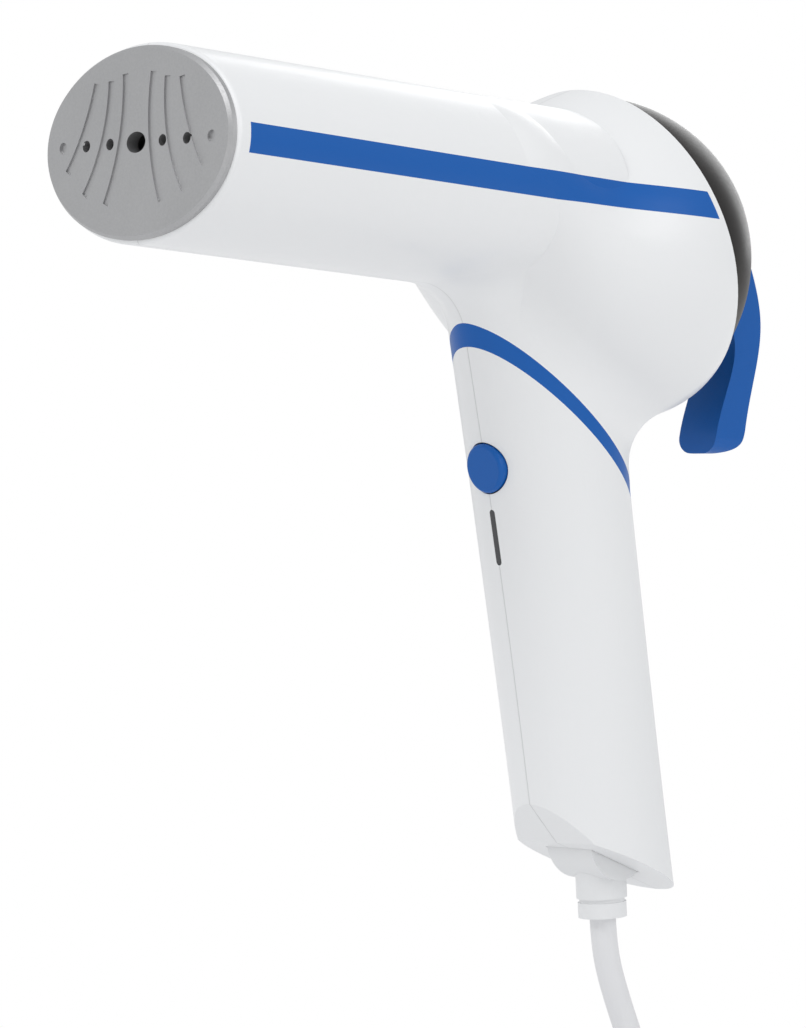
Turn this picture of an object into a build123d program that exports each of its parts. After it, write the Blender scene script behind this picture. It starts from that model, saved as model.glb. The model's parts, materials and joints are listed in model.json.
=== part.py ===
from build123d import *
import os
from math import cos, pi, radians, sin, sqrt, tan

# Handheld garment steamer, millimetres. +Z is up, the nozzle points along -Y and X = 0 is the
# mid-plane. The origin is the middle of the grip, on the handle's own centre line.

# ---------------------------------------------------------------- driving dimensions
WALL = 2.4                      # wall of every white shell
FIT_GAP = 0.1                   # air between pieces that are pushed together
LOOSE_GAP = 0.3                 # air round pieces that are dropped into place
SLIDE_GAP = 0.4                 # air round pieces that move
PIN_GAP = 0.05                  # radial running clearance of a pin in its bore
RIB_THICK = 1.5                 # ribs that locate pieces inside the shells
RIB_TALL = 4.0

NOZZLE_REACH = 170.5            # grip centre to the face of the steam plate
BARREL_RISE = 120.0             # grip centre up to the barrel's centre line
BARREL_WIDTH = 80.6
BARREL_HEIGHT = 55.1
BARREL_OVERLAP = 48.0           # the straight barrel runs this far on inside the swelling rear end

PLATE_WIDTH = 77.0              # flat part of the steam plate
PLATE_HEIGHT = 51.1
PLATE_BEVEL = 0.9               # how far the rounded edge stands outside the flat
PLATE_FLANGE = 2.3              # thickness of the plate's rim
PLATE_BOSS_IN = 4.6             # the boss behind the plate is smaller than its rim by this much
PLATE_BOSS_WALL = 3.2
PLATE_SKIN = 4.0                # metal in front of the steam space
PLATE_BOSS_END = 12.5
STEAM_HOLE = 3.2
STEAM_HOLE_STEP = 10.2          # from one steam hole to the next
FIRST_HOLE = 11.2               # from the middle to the first small hole
MID_HOLE_WIDTH = 8.0
MID_HOLE_HEIGHT = 5.8
DIMPLE_DEPTH = 0.8
GROOVE_DEPTH = 0.5
GROOVE_WIDTH = 2.4
# grooves on the right of the plate, each an arc through three points measured from its middle
GROOVES = [((6.0, 19.0), (6.4, 1.2), (11.9, -16.5)),
           ((12.0, 17.4), (13.9, 1.6), (21.2, -13.7)),
           ((18.2, 17.0), (21.4, 6.6), (29.0, -7.1))]

RING_END = 5.9                  # the bezel ring meets the body this far behind the face
RING_ROUND = 1.2
SPIGOT = 6.0                    # the ring's spigot inside the body
GASKET_THICK = 1.0

CHAMBER_WIDTH = 66.0            # cast block that makes the steam
CHAMBER_HEIGHT = 41.0
CHAMBER_LENGTH = 48.5
CHAMBER_WALL = 3.2
CHAMBER_POCKET = 9.0            # steam space in its front
ELEMENT_RADIUS = 3.2
ELEMENT_SPREAD = 18.0           # each leg of the element, from the mid-plane
ELEMENT_DROP = 6.0
ELEMENT_FRONT = 24.0            # front of the element's bend, behind the plate's face
ELEMENT_TAIL = 8.0
SHIELD_GAP = 1.0                # air between heat shield and barrel
SHIELD_THICK = 0.6
SHIELD_START = 16.0
FRAME_START = 74.0              # plate that carries the chamber, behind the plate's face
FRAME_THICK = 2.5
POST_RADIUS = 3.6
POSTS = [(21.0, 9.5), (-21.0, 9.5), (0.0, -14.0)]
THERMOSTAT_RADIUS = 6.0
THERMOSTAT_HEIGHT = 6.5
FUSE_RADIUS = 1.8
FUSE_LENGTH = 11.0

HOSE_RADIUS = 3.6
NIPPLE_RADIUS = 2.2
NIPPLE_LENGTH = 7.0
NIPPLE_BORE = 1.2
PUMP_START = 89.0               # front face of the pump's head, behind the plate's face
PUMP_HEAD = 6.0
PUMP_HEAD_RADIUS = 8.0
PUMP_TUBE_RADIUS = 6.0
PUMP_LENGTH = 44.0              # over both heads
COIL_RADIUS = 15.0
COIL_MARGIN = 3.0               # from each head to the coil
MOUNT_HEIGHT = 26.0

DRUM_RADIUS = 49.0              # round rear end of the body
DRUM_CENTRE_Y = 11.7            # centre of the drum's rim
DRUM_CENTRE_DROP = 10.5         # and how far it is under the barrel's centre line
DRUM_TILT = 23.7                # the drum leans back by this many degrees
DRUM_STRAIGHT = 14.0            # length of the drum that is round
TANK_DEPTH = 42.0               # bulge of the tank behind the rim
TANK_ROUNDNESS = 1.62           # exponent of the tank's profile: 2 is an ellipse, 1 a cone
TANK_WALL = 2.2
TANK_SKIRT = 10.0               # part of the tank that sits inside the drum
TANK_FLOOR = 2.5
DOCK_BACK = 17.5                # dock plate behind the rim, measured inwards
DOCK_THICK = 2.5
SPOUT_DROP = 30.0               # spout under the drum's centre
SPOUT_RADIUS = 6.4
SPOUT_BORE = 4.0
SPOUT_LENGTH = 11.0
SOCKET_RADIUS = 7.9
SOCKET_WALL = 2.0
SOCKET_DEPTH = 9.5
SEAL_WIDTH = 2.4
CAP_RISE = 16.0                 # filler cap over the drum's centre
CAP_RADIUS = 14.0
CAP_THROAT = 11.0
CAP_THICK = 2.0
CAP_RIB = 1.4
CAP_LUG = 1.8
CATCH_SPREAD = 34.0
CATCH_WIDTH = 9.0
CATCH_THICK = 2.0
CATCH_DEEP = 4.0

HANDLE_LEAN = 13.3              # handle's centre line against the vertical
HANDLE_DEPTH = 48.6             # at the grip centre
HANDLE_TAPER = 0.031            # growth of that depth for each millimetre up
HANDLE_FLARE = 0.0004           # and its growth with the square of the height
HANDLE_WIDTH = 43.0
HANDLE_FOOT_WIDTH = 40.8
HANDLE_FOOT = -95.0             # level under which nothing of the handle is left
SHOULDER_LEVEL = 38.0           # from here up the rear swells towards the neck
SHOULDER_TOP = 104.0
SHOULDER_GROWTH = 5.0
NECK_FILLET = 18.0

COLLAR_SLOPE = 36.3             # the blue collar falls to the rear by this many degrees
COLLAR_Y = -22.0                # a point on the collar's upper plane
COLLAR_Z = 64.0
COLLAR_THICK = 4.1
COLLAR_LIP = 3.0                # locating lips above and below the collar
COLLAR_LIP_WALL = 1.5
COLLAR_REACH = 41.0             # from that point forward and up to the front of the neck

FOOT_SLOPE = 17.0               # handle's underside falls to the rear
FOOT_Y = 0.5                    # line where the front facet meets the underside
FOOT_Z = -65.8
FACET_SLOPE = 43.2              # small facet at the front of the underside

BUTTON_LEVEL = 41.3             # level of the button's middle
BUTTON_RADIUS = 7.25
BUTTON_PROUD = 1.1
BUTTON_GUIDE = 5.0              # depth of the guide round the button
BUTTON_FLANGE = 1.9             # flange outside the button
BUTTON_FLANGE_THICK = 1.2
BUTTON_TRAVEL = 1.5
PLUNGER_RADIUS = 2.0
SWITCH_LENGTH = 12.8
SWITCH_WIDTH = 6.4
SWITCH_DEEP = 10.5              # face of the micro switch, under the handle's front
SWITCH_WELL = 4.5
WINDOW_WIDTH = 2.1
WINDOW_LENGTH = 16.4
WINDOW_LEVEL = 21.6             # level of the window's middle
WINDOW_DEEP = 3.8
WINDOW_FLANGE = 1.2
BOARD_DEEP = 17.0               # face of the control board, under the handle's front
BOARD_THICK = 1.6
BOARD_WIDTH = 30.0
BOARD_TOP = 46.0
BOARD_FOOT = -14.0
BOARD_LEDGES = (32.0, -8.0)
LEDGE_HALF = 4.0
LEDGE_DEEP = 5.0
BOARD_SCREW_X = 12.0
BOARD_SCREW_RADIUS = 1.1
LED_RADIUS = 2.5
LED_HEIGHT = 7.0

TERMINAL_Y = 5.2
TERMINAL_FOOT = -33.0
TERMINAL_HEIGHT = 14.0
TERMINAL_DEPTH = 16.4
TERMINAL_WIDTH = 22.0
WIRE_RADIUS = 2.0
WIRE_ROUTE = [(9.0, -22.0, 68.0), (9.0, -26.0, 84.0), (9.0, -31.0, 99.0), (8.5, -45.0, 104.0),
              (8.0, -68.0, 103.0)]
LEAD_RADIUS = 3.5
LEAD_FOOT = -50.4
CLAMP_LEVEL = -42.0
CLAMP_HEIGHT = 8.0
CLAMP_DEPTH = 7.0
CLAMP_WIDTH = 28.0
CLAMP_SCREW_X = 9.5

ROLLER_RADIUS = 12.6            # pivoting cord outlet
ROLLER_WIDTH = 18.4
ROLLER_Y = 17.8
ROLLER_Z = -63.5
TRUNNION_RADIUS = 3.0
TRUNNION_LENGTH = 4.0
TRUNNION_BOSS = 6.0
OUTLET_LEAN = 7.7               # outlet's neck against the vertical
NECK_RADIUS = 7.5
NECK_END = 18.2                 # from the roller's axis
GROOVE_END = 19.4
GROOVE_RADIUS = 6.7
OUTLET_END = 23.9
OUTLET_RADIUS = 7.2
RELIEF_RADIUS = 5.4
RELIEF_START = 2.0
CORD_DIAMETER = 7.8

STRIPE_LOW = 4.2                # lower edge under the barrel's centre line
STRIPE_HIGH = 4.0               # upper edge over it, at the front
STRIPE_HIGH_END = 3.5           # and at the rear
STRIPE_DEPTH = 0.8
STRIPE_START = 6.4              # behind the plate's face
STRIPE_STOP = 2.0               # in front of the drum's rim

SCREW_RADIUS = 1.5
SCREW_HEAD_RADIUS = 2.8
SCREW_HEAD_HEIGHT = 2.2
SCREW_GRIP = 11.0               # thread in the right-hand shell
WELL_RADIUS = 3.2
BOSS_RADIUS = 4.4
HANDLE_SEAT = 11.0              # head's seat, from the mid-plane
BODY_SEAT = 20.0
HANDLE_SCREWS = [(6.4, 28.0), (18.7, -24.0), (-1.7, -52.0)]
BODY_SCREWS = [(-88.0, 133.0), (-30.5, 133.0), (-15.0, 88.0)]

HOOK_WIDTH = 15.4
HOOK_CORNER = 5.0
# side view of the hook: its rear edge from the top down, then its front edge from the foot up
HOOK_REAR = [(54.0, 124.0), (64.9, 105.6), (68.7, 92.4), (66.4, 73.1), (64.3, 61.4)]
HOOK_FOOT = [(64.3, 61.4), (61.5, 54.5), (55.5, 52.3), (51.5, 52.0)]
HOOK_FRONT = [(51.5, 52.0), (55.1, 70.0), (58.0, 84.8), (52.0, 98.0), (46.0, 106.0)]

COIL_CENTRE = (-5.3, 43.0, -215.0)      # hank of spare cord
COIL_MEAN = 41.5
COIL_COLUMNS = 4                        # turns side by side
COIL_TURNS = 7
TIE_THICK = 1.2
TIE_WIDTH = 5.0
CORD_ROUTE = [(0.0, 21.0, -87.18), (0.0, 21.94, -94.12), (0.0, 24.6, -103.0), (0.0, 29.4, -113.0),
              (0.0, 35.8, -125.0), (0.5, 42.0, -140.0), (3.5, 47.0, -155.0), (11.5, 50.2, -169.0),
              (26.4, 50.8, -183.3)]
TAIL_ROUTE = [(32.8, 55.0, -213.0), (33.0, 58.2, -228.0), (33.4, 61.4, -242.0), (33.4, 61.4, -257.0)]
PLUG_RELIEF_LENGTH = 20.0
PLUG_RELIEF_THIN = 5.0
PLUG_RELIEF_THICK = 7.0
PLUG_GRIP_RADIUS = 13.0
PLUG_GRIP_LENGTH = 22.0
PLUG_FACE_RADIUS = 18.5
PLUG_FACE_LENGTH = 12.0
PLUG_PIN_RADIUS = 2.4
PLUG_PIN_LENGTH = 19.0
PLUG_PIN_SPACING = 19.0

FACE_Y = -NOZZLE_REACH
HALF_W = BARREL_WIDTH / 2
HALF_H = BARREL_HEIGHT / 2
DRUM_Z = BARREL_RISE - DRUM_CENTRE_DROP
PLATE_HALF_W = PLATE_WIDTH / 2 + PLATE_BEVEL
PLATE_HALF_H = PLATE_HEIGHT / 2 + PLATE_BEVEL
BOSS_HALF_W = PLATE_HALF_W - PLATE_BOSS_IN
BOSS_HALF_H = PLATE_HALF_H - PLATE_BOSS_IN
CHAMBER_START = PLATE_BOSS_END + GASKET_THICK
CHAMBER_END = CHAMBER_START + CHAMBER_LENGTH
TANK_RADIUS = DRUM_RADIUS - WALL - SLIDE_GAP
BASE_FRONT = TANK_SKIRT + TANK_FLOOR
PUMP_END = PUMP_START + PUMP_LENGTH
BIG = 400.0

os.makedirs("parts", exist_ok=True)


# ---------------------------------------------------------------- shared frames
def behind(distance, up=0.0, x=0.0):
    """Upright plane across the barrel, this far behind the plate's face, facing out of the nozzle."""
    return Plane(origin=(x, FACE_Y + distance, BARREL_RISE + up), x_dir=(1, 0, 0), z_dir=(0, -1, 0))


DRUM_AXIS = Vector(0, cos(radians(DRUM_TILT)), sin(radians(DRUM_TILT)))
DRUM_UP = Vector(0, -sin(radians(DRUM_TILT)), cos(radians(DRUM_TILT)))
DRUM_CENTRE = Vector(0, DRUM_CENTRE_Y, DRUM_Z)


def drum_point(inwards, up=0.0, x=0.0):
    """A point of the drum: distance inwards from the rim, height on its own upright."""
    return DRUM_CENTRE - DRUM_AXIS * inwards + DRUM_UP * up + Vector(x, 0, 0)


def drum_plane(inwards, up=0.0, x=0.0):
    """Plane across the drum, with its normal pointing into the body."""
    return Plane(origin=drum_point(inwards, up, x), x_dir=(1, 0, 0), z_dir=-DRUM_AXIS)


def leaning_plane(y, z, tilt):
    """Plane across the body, leaning back by tilt degrees."""
    lean = Vector(0, -cos(radians(tilt)), -sin(radians(tilt)))
    return Plane(origin=(0, y, z), x_dir=(1, 0, 0), z_dir=lean)


def handle_y(z):
    """Handle's centre line at a level."""
    return -z * tan(radians(HANDLE_LEAN))


def handle_half_depth(z):
    """Half of the handle's fore and aft size at a level."""
    return (HANDLE_DEPTH + HANDLE_TAPER * z + HANDLE_FLARE * z * z) / 2


def handle_half_width(z):
    """Half of the handle's side to side size at a level."""
    if z >= 0:
        return HANDLE_WIDTH / 2
    return HANDLE_WIDTH / 2 + (HANDLE_FOOT_WIDTH - HANDLE_WIDTH) / 2 * z / HANDLE_FOOT


def handle_front(level, deep=0.0, x=0.0):
    """Plane on the handle's front at a level, moved in by deep; its normal points forward."""
    slope = tan(radians(HANDLE_LEAN)) + (HANDLE_TAPER + 2 * HANDLE_FLARE * level) / 2
    run = sqrt(1 + slope * slope)
    outward = Vector(0, -1 / run, -slope / run)
    origin = Vector(x, handle_y(level) - handle_half_depth(level), level) - outward * deep
    return Plane(origin=origin, x_dir=(1, 0, 0), z_dir=outward)


def cross_plane(x, y, z):
    """Plane square to X, with +Y to its right and +Z up."""
    return Plane(origin=(x, y, z), x_dir=(0, 1, 0), z_dir=(1, 0, 0))


def outlet_plane(distance):
    """Plane across the cord outlet, this far from the roller's axis, facing along the cord."""
    along = Vector(0, sin(radians(OUTLET_LEAN)), -cos(radians(OUTLET_LEAN)))
    return Plane(origin=Vector(0, ROLLER_Y, ROLLER_Z) + along * distance, x_dir=(1, 0, 0), z_dir=along)


# ---------------------------------------------------------------- shared steps
def prism(plane, length, draw, mode=Mode.ADD):
    """Adds or cuts an outline drawn on a plane, run along the plane's normal."""
    with BuildSketch(plane) as outline:
        draw()
    extrude(outline.sketch, amount=length, mode=mode)


def rod(plane, length, radius, mode=Mode.ADD):
    """Adds or cuts a round bar."""
    prism(plane, length, lambda: Circle(radius), mode)


def oval(plane, length, half_width, half_height, mode=Mode.ADD):
    """Adds or cuts an oval bar."""
    prism(plane, length, lambda: Ellipse(half_width, half_height), mode)


def block(plane, length, width, height, mode=Mode.ADD):
    """Adds or cuts a rectangular bar."""
    prism(plane, length, lambda: Rectangle(width, height), mode)


def under(y, z, slope, depth=BIG):
    """Everything under a plane that falls to the rear; over it when depth is negative."""
    normal = Vector(0, sin(radians(slope)), cos(radians(slope)))
    with BuildPart() as cut:
        with BuildSketch(Plane(origin=(0, y, z), x_dir=(1, 0, 0), z_dir=normal)):
            Rectangle(BIG, BIG)
        extrude(amount=-depth)
    return cut.part


def collar_side(rise, depth=BIG):
    """Like under(), for the collar's upper plane lifted by rise; it stops in front of the neck."""
    normal = Vector(0, sin(radians(COLLAR_SLOPE)), cos(radians(COLLAR_SLOPE)))
    origin = Vector(0, COLLAR_Y, COLLAR_Z) + normal * rise
    with BuildPart() as cut:
        with BuildSketch(Plane(origin=origin, x_dir=(1, 0, 0), z_dir=normal)):
            with Locations((0, -COLLAR_REACH)):
                Rectangle(BIG, BIG, align=(Align.CENTER, Align.MIN))
        extrude(amount=-depth)
    return cut.part


def half_space(side):
    """Everything on one side of the mid-plane: +1 is the right side, -1 the left."""
    with BuildPart() as cut:
        with BuildSketch(Plane.YZ):
            Rectangle(BIG * 2, BIG * 2)
        extrude(amount=BIG * side)
    return cut.part


def corner_radii(points):
    """The largest arc that each corner's two runs allow."""
    radii = []
    for before, corner, after in zip(points, points[1:], points[2:]):
        run_in = Vector(corner) - Vector(before)
        run_out = Vector(after) - Vector(corner)
        half_turn = radians(run_in.get_angle(run_out)) / 2
        radii.append(0.45 * min(run_in.length, run_out.length) / tan(half_turn))
    return radii


def tube_along(points, radius, radii):
    """Round bar whose centre line is straight runs joined by arcs."""
    start = Vector(points[1]) - Vector(points[0])
    with BuildPart() as tube:
        with BuildLine():
            FilletPolyline(*points, radius=radii)
        with BuildSketch(Plane(origin=points[0], z_dir=start)):
            Circle(radius)
        sweep()
    return tube.part


def write(piece, label):
    """Name a finished piece and write it as its own node."""
    piece.part.label = label
    export_step(piece.part, f"parts/{label}.step")


# ---------------------------------------------------------------- outer forms
def handle_form(inset):
    """The handle, from under the foot up into the barrel, as one solid."""
    with BuildPart() as form:
        spacing = (SHOULDER_LEVEL - HANDLE_FOOT) / 3
        for step in range(4):
            level = HANDLE_FOOT + step * spacing
            with BuildSketch(Plane.XY.offset(level)):
                with Locations((0, handle_y(level))):
                    Ellipse(handle_half_width(level) - inset, handle_half_depth(level) - inset)
        loft()
        for level, growth in ((SHOULDER_LEVEL, 0.0), (SHOULDER_TOP, SHOULDER_GROWTH)):
            with BuildSketch(Plane.XY.offset(level)):
                with Locations((0, handle_y(level) + growth / 2)):
                    depth = handle_half_depth(level) + growth / 2 - inset
                    Ellipse(handle_half_width(level) - inset, depth)
        loft(ruled=True)
    return form.part


def body_form(inset, front=RING_END):
    """Barrel and drum as one solid, from the bezel ring to the drum's rim."""
    swell_start = NOZZLE_REACH - BARREL_OVERLAP - 18.0
    rear = 0.0 if inset == 0 else -6.0
    with BuildPart() as form:
        with BuildSketch(behind(front)):
            Ellipse(HALF_W - inset, HALF_H - inset)
        extrude(amount=-(NOZZLE_REACH - 22.0 - front))
        with BuildSketch(behind(swell_start)):
            Ellipse(HALF_W - 0.7 - inset, HALF_H - 0.7 - inset)
        with BuildSketch(leaning_plane(-44.0, BARREL_RISE - 1.7, 7.0)):
            Ellipse(HALF_W + 0.8 - inset, HALF_H + 0.6 - inset)
        with BuildSketch(leaning_plane(-16.0, BARREL_RISE - 17.0, 18.0)):
            Ellipse(DRUM_RADIUS - 3.0 - inset, DRUM_RADIUS - 5.0 - inset)
        with BuildSketch(drum_plane(DRUM_STRAIGHT)):
            Circle(DRUM_RADIUS - 0.1 - inset)
        with BuildSketch(drum_plane(rear)):
            Circle(DRUM_RADIUS - inset)
        loft()
    return form.part


def whole_form(inset, front=RING_END):
    """Body and handle joined by the rounded neck."""
    body = body_form(inset, front)
    handle = handle_form(inset)
    with BuildPart() as form:
        add(body)
        add(handle)
        crease = form.edges(Select.NEW)
        fillet(crease, NECK_FILLET + inset)
    return form.part


OUTER = whole_form(0)
CAVITY = whole_form(WALL, RING_END - 1.0)
HANDLE_OUTER = handle_form(0)


# ---------------------------------------------------------------- nozzle
def make_plate():
    """Steam plate with its holes, dimples and curved grooves, and the steam space behind it."""
    with BuildPart() as plate:
        oval(behind(0), -PLATE_FLANGE, PLATE_HALF_W, PLATE_HALF_H)
        chamfer(plate.faces().sort_by(Axis.Y)[0].edges(), PLATE_BEVEL)
        oval(behind(PLATE_FLANGE), PLATE_FLANGE - PLATE_BOSS_END, BOSS_HALF_W, BOSS_HALF_H)
        space_w = BOSS_HALF_W - PLATE_BOSS_WALL
        space_h = BOSS_HALF_H - PLATE_BOSS_WALL
        oval(behind(PLATE_SKIN), PLATE_SKIN - PLATE_BOSS_END, space_w, space_h, Mode.SUBTRACT)
        oval(behind(0), -PLATE_SKIN, MID_HOLE_WIDTH / 2, MID_HOLE_HEIGHT / 2, Mode.SUBTRACT)
        for side in (-1, 1):
            for step in range(2):
                x = side * (FIRST_HOLE + step * STEAM_HOLE_STEP)
                rod(behind(0, 0, x), -PLATE_SKIN, STEAM_HOLE / 2, Mode.SUBTRACT)
            x = side * (FIRST_HOLE + 2 * STEAM_HOLE_STEP)
            rod(behind(0, 0, x), -DIMPLE_DEPTH, STEAM_HOLE / 2, Mode.SUBTRACT)
            for arc in GROOVES:
                with BuildSketch(behind(0)) as groove:
                    with BuildLine():
                        ThreePointArc(*[(side * px, py) for px, py in arc])
                    trace(line_width=GROOVE_WIDTH)
                extrude(groove.sketch, amount=-GROOVE_DEPTH, mode=Mode.SUBTRACT)
        for x, up in plate_posts():
            post = behind(PLATE_SKIN, up, x)
            rod(post, PLATE_SKIN - PLATE_BOSS_END, POST_RADIUS)
            rod(behind(PLATE_BOSS_END, up, x), PLATE_BOSS_END - PLATE_SKIN - 1.0, SCREW_RADIUS, Mode.SUBTRACT)
    write(plate, "steam_plate")


def plate_posts():
    """Places of the two screws that draw the plate against the chamber."""
    spread = BOSS_HALF_W - PLATE_BOSS_WALL - POST_RADIUS + 1.0
    return [(-spread, 0.0), (spread, 0.0)]


def make_gasket():
    """Flat seal between the plate's boss and the chamber."""
    with BuildPart() as gasket:
        half_w = min(BOSS_HALF_W, CHAMBER_WIDTH / 2)
        half_h = min(BOSS_HALF_H, CHAMBER_HEIGHT / 2)
        oval(behind(PLATE_BOSS_END), -GASKET_THICK, half_w, half_h)
        space_w = BOSS_HALF_W - PLATE_BOSS_WALL
        space_h = BOSS_HALF_H - PLATE_BOSS_WALL
        oval(behind(PLATE_BOSS_END), -GASKET_THICK, space_w, space_h, Mode.SUBTRACT)
        for x, up in plate_posts():
            rod(behind(PLATE_BOSS_END, up, x), -GASKET_THICK, POST_RADIUS)
            rod(behind(PLATE_BOSS_END, up, x), -GASKET_THICK, SCREW_RADIUS + FIT_GAP, Mode.SUBTRACT)
    write(gasket, "plate_gasket")


def make_ring():
    """Bezel ring round the plate, with its spigot inside the body."""
    with BuildPart() as ring:
        oval(behind(PLATE_FLANGE), PLATE_FLANGE - RING_END, HALF_W, HALF_H)
        fillet(ring.faces().sort_by(Axis.Y)[0].edges(), RING_ROUND)
        spigot_w = HALF_W - WALL - FIT_GAP
        spigot_h = HALF_H - WALL - FIT_GAP
        oval(behind(RING_END), -SPIGOT, spigot_w, spigot_h)
        through = -(SPIGOT + RING_END - PLATE_FLANGE)
        hole_w = BOSS_HALF_W + LOOSE_GAP
        hole_h = BOSS_HALF_H + LOOSE_GAP
        oval(behind(PLATE_FLANGE), through, hole_w, hole_h, Mode.SUBTRACT)
    write(ring, "front_ring")


# ---------------------------------------------------------------- heater
def element_points():
    """Centre line of the heating element: two legs joined by a bend at the front."""
    up = BARREL_RISE - ELEMENT_DROP
    front = FACE_Y + ELEMENT_FRONT
    rear = FACE_Y + CHAMBER_END + ELEMENT_TAIL
    return [(-ELEMENT_SPREAD, rear, up), (-ELEMENT_SPREAD, front, up),
            (ELEMENT_SPREAD, front, up), (ELEMENT_SPREAD, rear, up)]


def make_chamber():
    """Cast block that turns water to steam, with the element cast in."""
    element = tube_along(element_points(), ELEMENT_RADIUS, ELEMENT_SPREAD - 4.0)
    with BuildPart() as chamber:
        oval(behind(CHAMBER_START), -CHAMBER_LENGTH, CHAMBER_WIDTH / 2, CHAMBER_HEIGHT / 2)
        pocket_w = CHAMBER_WIDTH / 2 - CHAMBER_WALL
        pocket_h = CHAMBER_HEIGHT / 2 - CHAMBER_WALL
        oval(behind(CHAMBER_START), -CHAMBER_POCKET, pocket_w, pocket_h, Mode.SUBTRACT)
        for x, up in plate_posts():
            rod(behind(CHAMBER_START, up, x), -CHAMBER_POCKET, POST_RADIUS)
            rod(behind(CHAMBER_START, up, x), -CHAMBER_POCKET, SCREW_RADIUS, Mode.SUBTRACT)
        rod(behind(CHAMBER_END), -NIPPLE_LENGTH, NIPPLE_RADIUS)
        bore = -(CHAMBER_LENGTH - CHAMBER_POCKET + NIPPLE_LENGTH)
        rod(behind(CHAMBER_START + CHAMBER_POCKET), bore, NIPPLE_BORE, Mode.SUBTRACT)
        for x, up in POSTS:
            rod(behind(CHAMBER_END, up, x), 10.0, SCREW_RADIUS, Mode.SUBTRACT)
        add(element, mode=Mode.SUBTRACT)
    write(chamber, "steam_chamber")
    with BuildPart() as core:
        add(element)
    write(core, "heating_element")
    with BuildPart() as screws:
        for x, up in plate_posts():
            rod(behind(PLATE_SKIN + 1.0, up, x), PLATE_SKIN + 1.0 - CHAMBER_START - 6.0, SCREW_RADIUS)
    write(screws, "plate_studs")


def make_frame():
    """Plate and posts that carry the chamber, and its screws."""
    cavity_w = HALF_W - WALL - FIT_GAP
    cavity_h = HALF_H - WALL - FIT_GAP
    with BuildPart() as frame:
        oval(behind(FRAME_START), -FRAME_THICK, cavity_w, cavity_h)
        for x, up in POSTS:
            rod(behind(CHAMBER_END, up, x), CHAMBER_END - FRAME_START, POST_RADIUS)
            shank = CHAMBER_END - FRAME_START - FRAME_THICK
            rod(behind(CHAMBER_END, up, x), shank, SCREW_RADIUS + FIT_GAP, Mode.SUBTRACT)
        rod(behind(FRAME_START), -FRAME_THICK, HOSE_RADIUS + LOOSE_GAP, Mode.SUBTRACT)
        for x in (-ELEMENT_SPREAD, ELEMENT_SPREAD):
            rod(behind(FRAME_START, -ELEMENT_DROP, x), -FRAME_THICK, ELEMENT_RADIUS + 1.0, Mode.SUBTRACT)
    write(frame, "chamber_frame")
    with BuildPart() as screws:
        for x, up in POSTS:
            rod(behind(FRAME_START + FRAME_THICK, up, x), -SCREW_HEAD_HEIGHT, SCREW_HEAD_RADIUS)
            length = FRAME_START + FRAME_THICK - CHAMBER_END + 8.0
            rod(behind(FRAME_START + FRAME_THICK, up, x), length, SCREW_RADIUS)
    write(screws, "chamber_screws")


def make_shield():
    """Thin metal sleeve between the hot block and the barrel."""
    half_w = HALF_W - WALL - SHIELD_GAP
    half_h = HALF_H - WALL - SHIELD_GAP
    length = SHIELD_START - FRAME_START
    with BuildPart() as shield:
        oval(behind(SHIELD_START), length, half_w, half_h)
        inner_w = half_w - SHIELD_THICK
        inner_h = half_h - SHIELD_THICK
        oval(behind(SHIELD_START), length, inner_w, inner_h, Mode.SUBTRACT)
    write(shield, "heat_shield")


def make_thermals():
    """Thermostat and thermal fuse on the back of the block."""
    with BuildPart() as thermostat:
        rod(behind(CHAMBER_END, 11.0, 7.5), -THERMOSTAT_HEIGHT, THERMOSTAT_RADIUS)
        for x in (4.5, 10.5):
            block(behind(CHAMBER_END + THERMOSTAT_HEIGHT, 11.0, x), -3.0, 0.8, 4.0)
    write(thermostat, "thermostat")
    with BuildPart() as fuse:
        rod(cross_plane(-5.0, FACE_Y + CHAMBER_END + FUSE_RADIUS, BARREL_RISE + 12.0), -FUSE_LENGTH, FUSE_RADIUS)
    write(fuse, "thermal_fuse")


# ---------------------------------------------------------------- water path
def make_pump():
    """Solenoid pump: plunger tube with a head at each end, its coil, and the two mounts."""
    with BuildPart() as pump:
        rod(behind(PUMP_START), -PUMP_LENGTH, PUMP_TUBE_RADIUS)
        rod(behind(PUMP_START), -PUMP_HEAD, PUMP_HEAD_RADIUS)
        rod(behind(PUMP_END), PUMP_HEAD, PUMP_HEAD_RADIUS)
        rod(behind(PUMP_START), NIPPLE_LENGTH, NIPPLE_RADIUS)
        rod(behind(PUMP_END), -NIPPLE_LENGTH, NIPPLE_RADIUS)
        through = -(PUMP_LENGTH + 2 * NIPPLE_LENGTH)
        rod(behind(PUMP_START - NIPPLE_LENGTH), through, NIPPLE_BORE, Mode.SUBTRACT)
    write(pump, "pump_body")
    coil_start = PUMP_START + PUMP_HEAD + COIL_MARGIN
    coil_length = PUMP_LENGTH - 2 * (PUMP_HEAD + COIL_MARGIN)
    with BuildPart() as coil:
        rod(behind(coil_start), -coil_length, COIL_RADIUS)
        rod(behind(coil_start), -coil_length, PUMP_TUBE_RADIUS, Mode.SUBTRACT)
    write(coil, "pump_coil")
    with BuildPart() as mounts:
        for start in (PUMP_START, PUMP_END - PUMP_HEAD):
            block(behind(start), -PUMP_HEAD, BARREL_WIDTH, MOUNT_HEIGHT)
        barrel_core = behind(PUMP_START)
        oval(barrel_core, -PUMP_LENGTH, HALF_W - WALL - FIT_GAP, HALF_H - WALL - FIT_GAP, Mode.INTERSECT)
        rod(barrel_core, -PUMP_LENGTH, PUMP_HEAD_RADIUS, Mode.SUBTRACT)
    write(mounts, "pump_mounts")


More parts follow.
